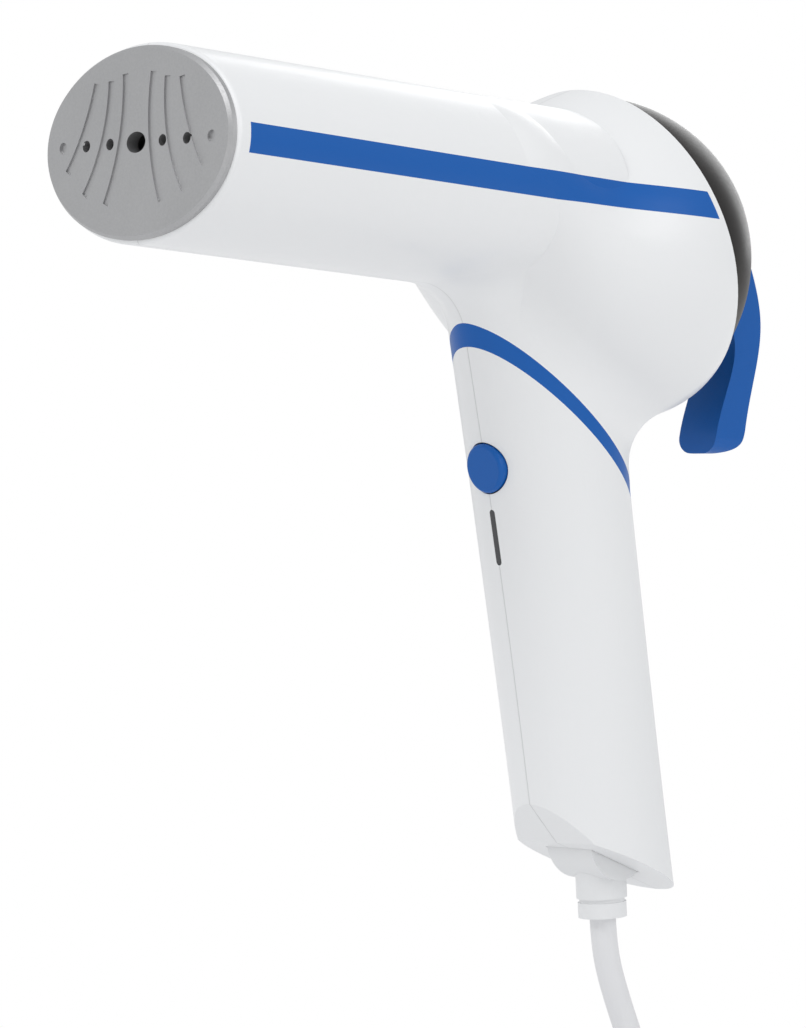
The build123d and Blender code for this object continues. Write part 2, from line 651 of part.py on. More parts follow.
def make_hoses():
    """Hose from pump to chamber, and hose from tank dock to pump."""
    with BuildPart() as pressure:
        start = CHAMBER_END + 1.0
        length = start - (PUMP_START - 1.0)
        rod(behind(start), length, HOSE_RADIUS)
        rod(behind(start), length, NIPPLE_RADIUS, Mode.SUBTRACT)
    write(pressure, "pressure_hose")
    socket_end = DOCK_BACK + SOCKET_DEPTH + SOCKET_WALL
    tip = drum_point(socket_end + 1.0, -SPOUT_DROP)
    elbow = drum_point(socket_end + 22.0, -SPOUT_DROP)
    pump_side = FACE_Y + PUMP_END + 1.0
    route = [(0, pump_side, BARREL_RISE), (0, pump_side + 14.0, BARREL_RISE), elbow, tip]
    bends = [9.0, 9.0]
    with BuildPart() as suction:
        add(tube_along(route, HOSE_RADIUS, bends))
        add(tube_along(route, NIPPLE_RADIUS, bends), mode=Mode.SUBTRACT)
    write(suction, "suction_hose")


def make_dock():
    """Plate across the drum that the tank plugs into, with its socket and catches."""
    socket_end = DOCK_BACK + SOCKET_DEPTH + SOCKET_WALL
    with BuildPart() as dock:
        rod(drum_plane(DOCK_BACK), DOCK_THICK, DRUM_RADIUS)
        add(CAVITY, mode=Mode.INTERSECT)
        rod(drum_plane(DOCK_BACK, -SPOUT_DROP), SOCKET_DEPTH + SOCKET_WALL, SOCKET_RADIUS + SOCKET_WALL)
        rod(drum_plane(DOCK_BACK, -SPOUT_DROP), SOCKET_DEPTH, SOCKET_RADIUS, Mode.SUBTRACT)
        rod(drum_plane(socket_end, -SPOUT_DROP), NIPPLE_LENGTH, NIPPLE_RADIUS)
        bore = SOCKET_WALL + NIPPLE_LENGTH
        rod(drum_plane(socket_end - SOCKET_WALL, -SPOUT_DROP), bore, NIPPLE_BORE, Mode.SUBTRACT)
    write(dock, "tank_dock")
    reach = DOCK_BACK - BASE_FRONT + CATCH_DEEP - LOOSE_GAP
    with BuildPart() as catches:
        for side in (-1, 1):
            block(drum_plane(DOCK_BACK, 0, side * CATCH_SPREAD), -reach, CATCH_THICK, CATCH_WIDTH)
    write(catches, "tank_catches")


def tank_profile(radius, depth):
    """Half of the tank's side view, from its rim to its rear end, as points."""
    points = []
    for step in range(11):
        angle = pi / 2 * step / 10
        across = radius * cos(angle) ** (2 / TANK_ROUNDNESS)
        out = depth * sin(angle) ** (2 / TANK_ROUNDNESS)
        points.append((across, out))
    return points


def tank_form(inset):
    """Skirt and bulging rear of the tank as one solid."""
    radius = TANK_RADIUS - inset
    points = tank_profile(radius, TANK_DEPTH - inset)
    floor = -TANK_SKIRT
    with BuildPart() as form:
        with BuildSketch(Plane(origin=DRUM_CENTRE, x_dir=DRUM_UP, z_dir=(-1, 0, 0))):
            with BuildLine():
                Spline(*points, tangents=[(0, 1), (-1, 0)])
                Polyline(points[-1], (0, floor), (radius, floor), points[0])
            make_face()
        revolve(axis=Axis(DRUM_CENTRE, DRUM_AXIS))
    return form.part


def make_tank():
    """Smoked tank, its base with spout and filler opening, the spout's seal and valve, the cap."""
    with BuildPart() as dome:
        add(tank_form(0))
        add(tank_form(TANK_WALL), mode=Mode.SUBTRACT)
    write(dome, "tank_dome")
    with BuildPart() as base:
        rod(drum_plane(TANK_SKIRT), TANK_FLOOR, TANK_RADIUS)
        rod(drum_plane(TANK_SKIRT), -CATCH_DEEP, TANK_RADIUS - TANK_WALL - FIT_GAP)
        rod(drum_plane(TANK_SKIRT), -CATCH_DEEP, TANK_RADIUS - 2 * TANK_WALL, Mode.SUBTRACT)
        pocket_width = CATCH_THICK + 2 * LOOSE_GAP
        pocket_height = CATCH_WIDTH + 2 * LOOSE_GAP
        for side in (-1, 1):
            x = side * CATCH_SPREAD
            wall = 2 * TANK_WALL
            block(drum_plane(TANK_SKIRT, 0, x), -CATCH_DEEP, pocket_width + wall, pocket_height + wall)
            block(drum_plane(BASE_FRONT, 0, x), -CATCH_DEEP, pocket_width, pocket_height, Mode.SUBTRACT)
        rod(drum_plane(BASE_FRONT, -SPOUT_DROP), SPOUT_LENGTH, SPOUT_RADIUS)
        spout = TANK_FLOOR + SPOUT_LENGTH
        rod(drum_plane(TANK_SKIRT, -SPOUT_DROP), spout, SPOUT_BORE, Mode.SUBTRACT)
        rod(drum_plane(TANK_SKIRT, CAP_RISE), TANK_FLOOR, CAP_THROAT + LOOSE_GAP, Mode.SUBTRACT)
        notch = 2 * (CAP_THROAT + CAP_LUG + 2 * LOOSE_GAP)
        block(drum_plane(TANK_SKIRT, CAP_RISE), TANK_FLOOR, 6.0, notch, Mode.SUBTRACT)
    write(base, "tank_base")
    with BuildPart() as seal:
        start = BASE_FRONT + SPOUT_LENGTH - 2 * SEAL_WIDTH
        rod(drum_plane(start, -SPOUT_DROP), SEAL_WIDTH, SOCKET_RADIUS - FIT_GAP)
        rod(drum_plane(start, -SPOUT_DROP), SEAL_WIDTH, SPOUT_RADIUS, Mode.SUBTRACT)
    write(seal, "tank_seal")
    with BuildPart() as valve:
        rod(drum_plane(BASE_FRONT, -SPOUT_DROP), SPOUT_LENGTH - 2.0, SPOUT_BORE)
        rod(drum_plane(BASE_FRONT, -SPOUT_DROP), SPOUT_LENGTH - 4.0, SPOUT_BORE - 1.2, Mode.SUBTRACT)
        slit = drum_plane(BASE_FRONT + SPOUT_LENGTH - 4.0, -SPOUT_DROP)
        block(slit, 2.0, 0.4, SPOUT_BORE, Mode.SUBTRACT)
    write(valve, "tank_valve")


def make_cap():
    """Quarter-turn filler cap with its lugs, rib and seal."""
    seal_thick = 0.8
    lug_start = TANK_SKIRT - LOOSE_GAP
    with BuildPart() as cap:
        rod(drum_plane(BASE_FRONT + seal_thick, CAP_RISE), CAP_THICK - seal_thick, CAP_RADIUS)
        rod(drum_plane(BASE_FRONT + seal_thick, CAP_RISE), -(TANK_FLOOR + seal_thick + 2.0), CAP_THROAT)
        block(drum_plane(BASE_FRONT + CAP_THICK, CAP_RISE), CAP_RIB, 3.0, 2 * CAP_RADIUS - 4.0)
        lug_span = 2 * (CAP_THROAT + CAP_LUG)
        block(drum_plane(lug_start, CAP_RISE), -1.7, lug_span, 5.0)
    write(cap, "filler_cap")
    with BuildPart() as seal:
        rod(drum_plane(BASE_FRONT, CAP_RISE), seal_thick, CAP_RADIUS)
        rod(drum_plane(BASE_FRONT, CAP_RISE), seal_thick, CAP_THROAT, Mode.SUBTRACT)
    write(seal, "cap_seal")


def make_hook():
    """Hanging hook: a blade down the middle of the tank that ends behind and under the drum."""
    top = HOOK_REAR[0][1]
    low = HOOK_FOOT[-1][1]
    with BuildPart() as hook:
        with BuildSketch(cross_plane(-HOOK_WIDTH / 2, 0, 0)):
            with BuildLine():
                Spline(*HOOK_REAR)
                Spline(*HOOK_FOOT, tangents=[(-0.1, -1), (-1, 0)])
                Spline(*HOOK_FRONT)
                Line(HOOK_FRONT[-1], HOOK_REAR[0])
            make_face()
        extrude(amount=HOOK_WIDTH)
        middle = Plane(origin=(0, 0, (top + low) / 2), x_dir=(1, 0, 0), z_dir=(0, -1, 0))
        with BuildSketch(middle) as front_view:
            RectangleRounded(HOOK_WIDTH, top - low, HOOK_CORNER)
        extrude(front_view.sketch, amount=BIG, both=True, mode=Mode.INTERSECT)
        add(tank_form(0), mode=Mode.SUBTRACT)
    write(hook, "hanging_hook")


# ---------------------------------------------------------------- shells
def screw_post(side, y, z):
    """Boss for a joining screw: a well and clearance hole on the left, a threaded hole on the right."""
    reach = side * BIG / 4
    rod(cross_plane(0, y, z), reach, BOSS_RADIUS)


def screw_holes(side, y, z, seat):
    """Holes of that boss."""
    if side < 0:
        rod(cross_plane(-seat, y, z), -BIG / 4, WELL_RADIUS, Mode.SUBTRACT)
        rod(cross_plane(0, y, z), -seat, SCREW_RADIUS + FIT_GAP, Mode.SUBTRACT)
    else:
        rod(cross_plane(0, y, z), SCREW_GRIP, SCREW_RADIUS, Mode.SUBTRACT)


def stripe_form(side):
    """Inlaid strip on one side of the barrel."""
    skin = body_form(STRIPE_DEPTH)
    lowest = BARREL_RISE - STRIPE_LOW
    front = FACE_Y + STRIPE_START
    outline = [(front, lowest), (BIG / 4, lowest), (BIG / 4, BARREL_RISE + STRIPE_HIGH_END),
               (DRUM_CENTRE_Y, BARREL_RISE + STRIPE_HIGH_END), (front, BARREL_RISE + STRIPE_HIGH)]
    with BuildPart() as strip:
        with BuildSketch(cross_plane(0, 0, 0)):
            with BuildLine():
                Polyline(*outline, close=True)
            make_face()
        extrude(amount=side * BIG)
        add(BODY_OUTER, mode=Mode.INTERSECT)
        add(skin, mode=Mode.SUBTRACT)
        with BuildSketch(drum_plane(STRIPE_STOP)) as rear_end:
            Rectangle(BIG, BIG)
        extrude(rear_end.sketch, amount=-BIG, mode=Mode.SUBTRACT)
    return strip.part


BODY_OUTER = body_form(0)
RIBS = [FRAME_START + FRAME_THICK, PUMP_START - RIB_THICK, PUMP_START + PUMP_HEAD,
        PUMP_END - PUMP_HEAD - RIB_THICK, PUMP_END]


def make_body_half(side, label, strip):
    """One half of the white body: barrel, drum and neck."""
    with BuildPart() as posts:
        for y, z in BODY_SCREWS:
            screw_post(side, y, z)
        for start in RIBS:
            oval(behind(start), -RIB_THICK, HALF_W - 1.0, HALF_H - 1.0)
            rib_w = HALF_W - WALL - RIB_TALL
            rib_h = HALF_H - WALL - RIB_TALL
            oval(behind(start), -RIB_THICK, rib_w, rib_h, Mode.SUBTRACT)
        rod(drum_plane(DOCK_BACK + DOCK_THICK), RIB_THICK, DRUM_RADIUS - 1.0)
        rod(drum_plane(DOCK_BACK + DOCK_THICK), RIB_THICK, DRUM_RADIUS - WALL - RIB_TALL, Mode.SUBTRACT)
        for x, up in POSTS:
            head = behind(FRAME_START + FRAME_THICK, up, x)
            rod(head, -SCREW_HEAD_HEIGHT, SCREW_HEAD_RADIUS + LOOSE_GAP, Mode.SUBTRACT)
        add(tube_along(WIRE_ROUTE, WIRE_RADIUS + LOOSE_GAP, corner_radii(WIRE_ROUTE)), mode=Mode.SUBTRACT)
        add(OUTER, mode=Mode.INTERSECT)
    with BuildPart() as half:
        add(OUTER)
        add(CAVITY, mode=Mode.SUBTRACT)
        add(posts.part)
        add(half_space(-side), mode=Mode.SUBTRACT)
        for y, z in BODY_SCREWS:
            screw_holes(side, y, z, BODY_SEAT)
        add(collar_side(0), mode=Mode.SUBTRACT)
        add(strip, mode=Mode.SUBTRACT)
    write(half, label)


def make_stripe(strip, label):
    """One blue strip as its own piece."""
    with BuildPart() as piece:
        add(strip)
    write(piece, label)


COLLAR_DROP = COLLAR_THICK / cos(radians(COLLAR_SLOPE))


def make_collar():
    """Blue slanting collar between neck and handle, with a lip into each."""
    with BuildPart() as lips:
        add(whole_form(WALL + FIT_GAP, RING_END - 1.0))
        add(collar_side(COLLAR_LIP, COLLAR_THICK + 2 * COLLAR_LIP), mode=Mode.INTERSECT)
    with BuildPart() as collar:
        add(OUTER)
        add(collar_side(0, COLLAR_THICK), mode=Mode.INTERSECT)
        add(lips.part)
        add(whole_form(WALL + FIT_GAP + COLLAR_LIP_WALL, RING_END - 1.0), mode=Mode.SUBTRACT)
    write(collar, "neck_trim")


def foot_cut(rise):
    """Everything under the handle's foot, whose two planes are lifted by rise."""
    with BuildPart() as cut:
        add(under(FOOT_Y, FOOT_Z + rise / cos(radians(FOOT_SLOPE)), FOOT_SLOPE))
        add(under(FOOT_Y, FOOT_Z + rise / cos(radians(FACET_SLOPE)), FACET_SLOPE))
    return cut.part


def make_handle_half(side, label):
    """One half of the white handle."""
    with BuildPart() as hollow:
        add(handle_form(WALL))
        add(foot_cut(WALL), mode=Mode.SUBTRACT)
    with BuildPart() as posts:
        for y, z in HANDLE_SCREWS:
            screw_post(side, y, z)
        for level in BOARD_LEDGES:
            inner_edge = side * (BIG / 2 + BOARD_SCREW_X - 2.0)
            ledge = board_plane(BOARD_DEEP + BOARD_THICK, level - BUTTON_LEVEL, inner_edge)
            block(ledge, -LEDGE_DEEP, BIG, 2 * LEDGE_HALF)
        ledge_y = CLAMP_Y - CLAMP_DEPTH / 2
        shelf = Plane.XY.offset(CLAMP_LEVEL - CLAMP_HEIGHT / 2)
        with BuildSketch(shelf) as clamp_shelf:
            with Locations((side * (BIG / 2 + LEAD_RADIUS + 2.5), ledge_y)):
                Rectangle(BIG, CLAMP_DEPTH)
        extrude(clamp_shelf.sketch, amount=CLAMP_HEIGHT)
        rod(cross_plane(side * (ROLLER_WIDTH / 2 + LOOSE_GAP), ROLLER_Y, ROLLER_Z), side * BIG / 4, TRUNNION_BOSS)
        rod(handle_front(BUTTON_LEVEL), -BUTTON_GUIDE, BUTTON_RADIUS + SLIDE_GAP + RIB_THICK)
        add(HANDLE_OUTER, mode=Mode.INTERSECT)
    with BuildPart() as half:
        add(HANDLE_OUTER)
        add(hollow.part, mode=Mode.SUBTRACT)
        add(posts.part)
        add(foot_cut(0), mode=Mode.SUBTRACT)
        add(under(COLLAR_Y, COLLAR_Z - COLLAR_DROP, COLLAR_SLOPE, -BIG), mode=Mode.SUBTRACT)
        add(half_space(-side), mode=Mode.SUBTRACT)
        for y, z in HANDLE_SCREWS:
            screw_holes(side, y, z, HANDLE_SEAT)
        for level in BOARD_LEDGES:
            hole = board_plane(BOARD_DEEP + BOARD_THICK, level - BUTTON_LEVEL, side * BOARD_SCREW_X)
            rod(hole, -LEDGE_DEEP, BOARD_SCREW_RADIUS, Mode.SUBTRACT)
        clamp_hole = Plane(origin=(side * CLAMP_SCREW_X, CLAMP_Y, CLAMP_LEVEL), x_dir=(1, 0, 0), z_dir=(0, -1, 0))
        rod(clamp_hole, CLAMP_DEPTH, SCREW_RADIUS, Mode.SUBTRACT)
        rod(outlet_plane(0), OUTLET_END, NECK_RADIUS + SLIDE_GAP, Mode.SUBTRACT)
        slot_half = ROLLER_WIDTH / 2 + LOOSE_GAP
        rod(cross_plane(-slot_half, ROLLER_Y, ROLLER_Z), 2 * slot_half, ROLLER_RADIUS + SLIDE_GAP, Mode.SUBTRACT)
        bore_half = slot_half + TRUNNION_LENGTH
        rod(cross_plane(-bore_half, ROLLER_Y, ROLLER_Z), 2 * bore_half, TRUNNION_RADIUS + PIN_GAP, Mode.SUBTRACT)
        rod(handle_front(BUTTON_LEVEL, -WALL), -(BUTTON_GUIDE + WALL), BUTTON_RADIUS + SLIDE_GAP, Mode.SUBTRACT)
        prism(handle_front(WINDOW_LEVEL, -WALL), -3 * WALL, window_outline, Mode.SUBTRACT)
    write(half, label)


CLAMP_Y = handle_y(CLAMP_LEVEL) + 2.9


def window_outline():
    """Slim upright slot with round ends."""
    SlotOverall(WINDOW_LENGTH, WINDOW_WIDTH, rotation=90)


# ---------------------------------------------------------------- controls
def make_button():
    """Blue push button with its flange, and the plunger behind it."""
    face = handle_front(BUTTON_LEVEL, -BUTTON_PROUD)
    flange_start = BUTTON_GUIDE + FIT_GAP
    with BuildPart() as button:
        rod(face, -(BUTTON_PROUD + flange_start), BUTTON_RADIUS)
        crown = button.faces().sort_by(Axis.Y)[0].edges()
        fillet(crown, BUTTON_PROUD)
        flange = handle_front(BUTTON_LEVEL, flange_start)
        rod(flange, -BUTTON_FLANGE_THICK, BUTTON_RADIUS + BUTTON_FLANGE)
    write(button, "power_button")
    start = flange_start + BUTTON_FLANGE_THICK
    length = SWITCH_DEEP + SWITCH_WELL - BUTTON_TRAVEL - LOOSE_GAP - start
    with BuildPart() as plunger:
        rod(handle_front(BUTTON_LEVEL, start), -length, PLUNGER_RADIUS)
    write(plunger, "switch_plunger")
    with BuildPart() as switch:
        block(handle_front(BUTTON_LEVEL, SWITCH_DEEP), SWITCH_DEEP - BOARD_DEEP, SWITCH_WIDTH, SWITCH_LENGTH)
        well = PLUNGER_RADIUS + PIN_GAP
        rod(handle_front(BUTTON_LEVEL, SWITCH_DEEP), -SWITCH_WELL, well, Mode.SUBTRACT)
    write(switch, "micro_switch")


def board_plane(deep, up=0.0, x=0.0):
    """Plane parallel to the control board; up is measured along the board from the button."""
    base = handle_front(BUTTON_LEVEL, deep, x)
    return Plane(origin=base.origin + base.y_dir * up, x_dir=(1, 0, 0), z_dir=base.z_dir)


def make_board():
    """Control board with a few parts on it, its screws, the light and the window in front of it."""
    top = BOARD_TOP - BUTTON_LEVEL
    foot = BOARD_FOOT - BUTTON_LEVEL
    middle = (top + foot) / 2
    with BuildPart() as board:
        block(board_plane(BOARD_DEEP, middle), -BOARD_THICK, BOARD_WIDTH, top - foot)
        block(board_plane(BOARD_DEEP, foot + 14.0, 5.0), 7.0, 9.0, 11.0)
        rod(board_plane(BOARD_DEEP, foot + 13.0, -6.0), 10.0, 4.0)
        block(board_plane(BOARD_DEEP, foot + 28.0, 6.0), 2.0, 6.0, 6.0)
        for up in board_screw_ups():
            for x in (-BOARD_SCREW_X, BOARD_SCREW_X):
                hole = board_plane(BOARD_DEEP, up, x)
                rod(hole, -BOARD_THICK, BOARD_SCREW_RADIUS + FIT_GAP, Mode.SUBTRACT)
    write(board, "control_board")
    with BuildPart() as screws:
        for up in board_screw_ups():
            for x in (-BOARD_SCREW_X, BOARD_SCREW_X):
                rod(board_plane(BOARD_DEEP, up, x), 1.4, 2 * BOARD_SCREW_RADIUS)
                rod(board_plane(BOARD_DEEP, up, x), -(BOARD_THICK + LEDGE_DEEP - 1.0), BOARD_SCREW_RADIUS)
    write(screws, "board_screws")
    with BuildPart() as led:
        led_up = WINDOW_LEVEL - BUTTON_LEVEL
        rod(board_plane(BOARD_DEEP, led_up), LED_HEIGHT - LED_RADIUS, LED_RADIUS)
        tip = board_plane(BOARD_DEEP - LED_HEIGHT + LED_RADIUS, led_up)
        with Locations(tip):
            Sphere(LED_RADIUS)
    write(led, "indicator_led")
    with BuildPart() as window:
        prism(handle_front(WINDOW_LEVEL, -WALL), -(WALL + WINDOW_DEEP), window_outline)
        add(HANDLE_OUTER, mode=Mode.INTERSECT)
        flange = handle_front(WINDOW_LEVEL, WALL + 2 * LOOSE_GAP)
        block(flange, -(WINDOW_DEEP - WALL - 2 * LOOSE_GAP), WINDOW_WIDTH + WINDOW_FLANGE, WINDOW_LENGTH + 2.0)
    write(window, "indicator_window")


def board_screw_ups():
    """Heights of the board's screws along the board."""
    return [level - BUTTON_LEVEL for level in BOARD_LEDGES]


def make_mains():
    """Terminal block, the lead inside the handle, its clamp and the wires to the heater."""
    with BuildPart() as terminal:
        with BuildSketch(Plane.XY.offset(TERMINAL_FOOT)):
            with Locations((0, TERMINAL_Y)):
                Rectangle(TERMINAL_WIDTH, TERMINAL_DEPTH)
        extrude(amount=TERMINAL_HEIGHT)
        rear = TERMINAL_Y + TERMINAL_DEPTH / 2
        for x in (-TERMINAL_WIDTH / 3, 0.0, TERMINAL_WIDTH / 3):
            hole = Plane(origin=(x, rear, TERMINAL_FOOT + TERMINAL_HEIGHT / 2), x_dir=(1, 0, 0), z_dir=(0, 1, 0))
            rod(hole, -4.0, 2.0, Mode.SUBTRACT)
    write(terminal, "terminal_block")
    low = (0, handle_y(LEAD_FOOT) + 2.9, LEAD_FOOT)
    high = (0, handle_y(TERMINAL_FOOT) + 2.9, TERMINAL_FOOT)
    with BuildPart() as lead:
        with BuildSketch(Plane(origin=low, z_dir=Vector(high) - Vector(low))):
            Circle(LEAD_RADIUS)
        extrude(amount=BIG / 4)
        add(under(0, TERMINAL_FOOT, 0, -BIG), mode=Mode.SUBTRACT)
    write(lead, "inner_lead")
    with BuildPart() as clamp:
        with BuildSketch(Plane.XY.offset(CLAMP_LEVEL - CLAMP_HEIGHT / 2)):
            with Locations((0, CLAMP_Y + CLAMP_DEPTH / 2)):
                Rectangle(CLAMP_WIDTH, CLAMP_DEPTH)
        extrude(amount=CLAMP_HEIGHT)
        add(lead.part, mode=Mode.SUBTRACT)
        for x in (-CLAMP_SCREW_X, CLAMP_SCREW_X):
            face = Plane(origin=(x, CLAMP_Y, CLAMP_LEVEL), x_dir=(1, 0, 0), z_dir=(0, 1, 0))
            rod(face, CLAMP_DEPTH, SCREW_RADIUS + FIT_GAP, Mode.SUBTRACT)
    write(clamp, "cord_clamp")
    with BuildPart() as screws:
        for x in (-CLAMP_SCREW_X, CLAMP_SCREW_X):
            seat = Plane(origin=(x, CLAMP_Y + CLAMP_DEPTH, CLAMP_LEVEL), x_dir=(1, 0, 0), z_dir=(0, 1, 0))
            rod(seat, SCREW_HEAD_HEIGHT, SCREW_HEAD_RADIUS)
            rod(seat, -(2 * CLAMP_DEPTH - 1.5), SCREW_RADIUS)
    write(screws, "clamp_screws")
    back = board_plane(BOARD_DEEP + BOARD_THICK + WIRE_RADIUS + LOOSE_GAP, 0, 9.0).origin
    route = [(back.X, back.Y, back.Z)] + WIRE_ROUTE
    route.append((8.0, FACE_Y + FRAME_START + FRAME_THICK, 103.5))
    with BuildPart() as wires:
        add(tube_along(route, WIRE_RADIUS, corner_radii(route)))
    write(wires, "heater_wires")


def make_joining_screws():
    """Screws that join the two halves of the body and of the handle."""
    for label, places, seat in (("body_screws", BODY_SCREWS, BODY_SEAT),
                                ("handle_screws", HANDLE_SCREWS, HANDLE_SEAT)):
        with BuildPart() as screws:
            for y, z in places:
                rod(cross_plane(-seat, y, z), -SCREW_HEAD_HEIGHT, SCREW_HEAD_RADIUS)
                rod(cross_plane(-seat, y, z), seat + SCREW_GRIP - 1.0, SCREW_RADIUS)
        write(screws, label)


# ---------------------------------------------------------------- cord
def make_outlet():
    """Pivoting cord outlet and the strain relief inside it."""
    with BuildPart() as outlet:
        rod(cross_plane(-ROLLER_WIDTH / 2, ROLLER_Y, ROLLER_Z), ROLLER_WIDTH, ROLLER_RADIUS)
        pivot = ROLLER_WIDTH + 2 * TRUNNION_LENGTH
        rod(cross_plane(-pivot / 2, ROLLER_Y, ROLLER_Z), pivot, TRUNNION_RADIUS)
        rod(outlet_plane(0), NECK_END, NECK_RADIUS)
        rod(outlet_plane(NECK_END), GROOVE_END - NECK_END, GROOVE_RADIUS)
        rod(outlet_plane(GROOVE_END), OUTLET_END - GROOVE_END, OUTLET_RADIUS)
        rod(outlet_plane(RELIEF_START), OUTLET_END - RELIEF_START, RELIEF_RADIUS, Mode.SUBTRACT)
    write(outlet, "cord_outlet")
    with BuildPart() as relief:
        rod(outlet_plane(RELIEF_START), OUTLET_END - RELIEF_START, RELIEF_RADIUS)
    write(relief, "strain_relief")


def make_cord():
    """Free cord, the hank of spare cord with its ties, and the tail that ends in the plug."""
    radii = corner_radii(CORD_ROUTE)
    tail_radii = corner_radii(TAIL_ROUTE)
    print("cord radii", [round(r, 1) for r in radii], [round(r, 1) for r in tail_radii])
    with BuildPart() as cord:
        add(tube_along(CORD_ROUTE, CORD_DIAMETER / 2, radii))
    write(cord, "power_cord")
    with BuildPart() as tail:
        add(tube_along(TAIL_ROUTE, CORD_DIAMETER / 2, tail_radii))
    write(tail, "cord_tail")
    thick = CORD_DIAMETER * (1 + sqrt(3) / 2)
    width = CORD_DIAMETER * COIL_COLUMNS
    start = Plane(origin=Vector(*COIL_CENTRE) - Vector(0, width / 2, 0), x_dir=(1, 0, 0), z_dir=(0, 1, 0))
    with BuildPart() as coil:
        rod(start, width, COIL_MEAN + thick / 2)
        rod(start, width, COIL_MEAN - thick / 2, Mode.SUBTRACT)
    write(coil, "cord_coil")
    with BuildPart() as tie:
        for side in (-1, 1):
            height = side * COIL_MEAN
            centre = Vector(*COIL_CENTRE) + Vector(-TIE_WIDTH / 2, 0, height)
            with BuildSketch(Plane(origin=centre, x_dir=(0, 1, 0), z_dir=(1, 0, 0))) as band:
                RectangleRounded(width + 2 * TIE_THICK, thick + 2 * TIE_THICK, 2 * TIE_THICK)
                Rectangle(width, thick, mode=Mode.SUBTRACT)
            extrude(band.sketch, amount=TIE_WIDTH)
    write(tie, "cord_tie")


def make_plug():
    """Mains plug on the cord's end."""
    end = Vector(*TAIL_ROUTE[-1])
    top = Plane(origin=end, x_dir=(1, 0, 0), z_dir=(0, 0, -1))
    with BuildPart() as plug:
        for distance, radius in ((0, PLUG_RELIEF_THIN), (PLUG_RELIEF_LENGTH, PLUG_RELIEF_THICK)):
            with BuildSketch(top.offset(distance)):
                Circle(radius)
        loft()
        rod(top.offset(PLUG_RELIEF_LENGTH), PLUG_GRIP_LENGTH, PLUG_GRIP_RADIUS)
        fillet(plug.edges().filter_by(GeomType.CIRCLE).sort_by(SortBy.RADIUS)[-2:], 2.0)
        rod(top.offset(PLUG_RELIEF_LENGTH + PLUG_GRIP_LENGTH), PLUG_FACE_LENGTH, PLUG_FACE_RADIUS)
    write(plug, "plug_body")
    face = top.offset(PLUG_RELIEF_LENGTH + PLUG_GRIP_LENGTH + PLUG_FACE_LENGTH)
    with BuildPart() as pins:
        with BuildSketch(face):
            with GridLocations(PLUG_PIN_SPACING, 1, 2, 1):
                Circle(PLUG_PIN_RADIUS)
        extrude(amount=PLUG_PIN_LENGTH)
    write(pins, "plug_pins")


make_plate()
make_gasket()
make_ring()
make_chamber()
make_frame()
make_shield()
make_thermals()
make_pump()
make_hoses()
make_dock()
make_tank()
make_cap()
make_hook()
STRIPS = {1: stripe_form(1), -1: stripe_form(-1)}
for half_side, half_name in ((1, "right"), (-1, "left")):
    make_body_half(half_side, f"body_shell_{half_name}", STRIPS[half_side])
    make_stripe(STRIPS[half_side], f"stripe_{half_name}")
    make_handle_half(half_side, f"handle_shell_{half_name}")
make_collar()
make_button()
make_board()
make_mains()
make_joining_screws()
make_outlet()
make_cord()
make_plug()
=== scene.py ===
"""Looks of a handheld garment steamer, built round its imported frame.

Lengths are metres in the part's own frame: the steam plate looks towards -Y and +Z is up.
"""

import json
import logging
import math
from dataclasses import dataclass
from enum import Enum

import bmesh
import bpy
from mathutils import Matrix, Vector


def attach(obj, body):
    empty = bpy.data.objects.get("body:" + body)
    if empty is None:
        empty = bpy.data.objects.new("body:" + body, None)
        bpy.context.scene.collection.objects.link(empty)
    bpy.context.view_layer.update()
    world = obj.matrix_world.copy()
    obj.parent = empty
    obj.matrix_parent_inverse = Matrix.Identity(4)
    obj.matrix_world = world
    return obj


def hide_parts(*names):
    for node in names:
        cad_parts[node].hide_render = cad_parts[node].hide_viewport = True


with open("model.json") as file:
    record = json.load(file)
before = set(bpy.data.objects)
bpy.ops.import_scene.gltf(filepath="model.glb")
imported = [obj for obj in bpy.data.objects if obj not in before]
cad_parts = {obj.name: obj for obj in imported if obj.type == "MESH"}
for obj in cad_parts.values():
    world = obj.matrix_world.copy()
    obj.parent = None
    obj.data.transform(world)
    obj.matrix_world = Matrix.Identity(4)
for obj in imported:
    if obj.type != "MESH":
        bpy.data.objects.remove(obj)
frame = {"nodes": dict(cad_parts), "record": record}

Point = tuple[float, float, float]
Colour = tuple[float, float, float]

LOG = logging.getLogger("steamer")
FULL_TURN = 2 * math.pi
NOISE_MIDDLE = 0.5
WHITE: tuple[float, float, float, float] = (1.0, 1.0, 1.0, 1.0)


class Slot(Enum):
    """Material slots of the record."""

    WHITE = "white_shell"
    BLUE = "blue_trim"
    CAST = "die_cast"
    SMOKED = "smoked_tank"
    TANK = "tank_plastic"
    WINDOW = "dark_window"
    SEAL = "seal_rubber"
    HOSE = "hose_rubber"
    INNER = "inner_plastic"
    STEEL = "steel"
    SHIELD = "shield_metal"
    WINDING = "coil_wrap"
    BOARD = "board_green"
    LAMP = "lamp"
    SHEATH = "cord_rubber"
    OUTLET = "outlet_white"
    BRASS = "brass_pins"


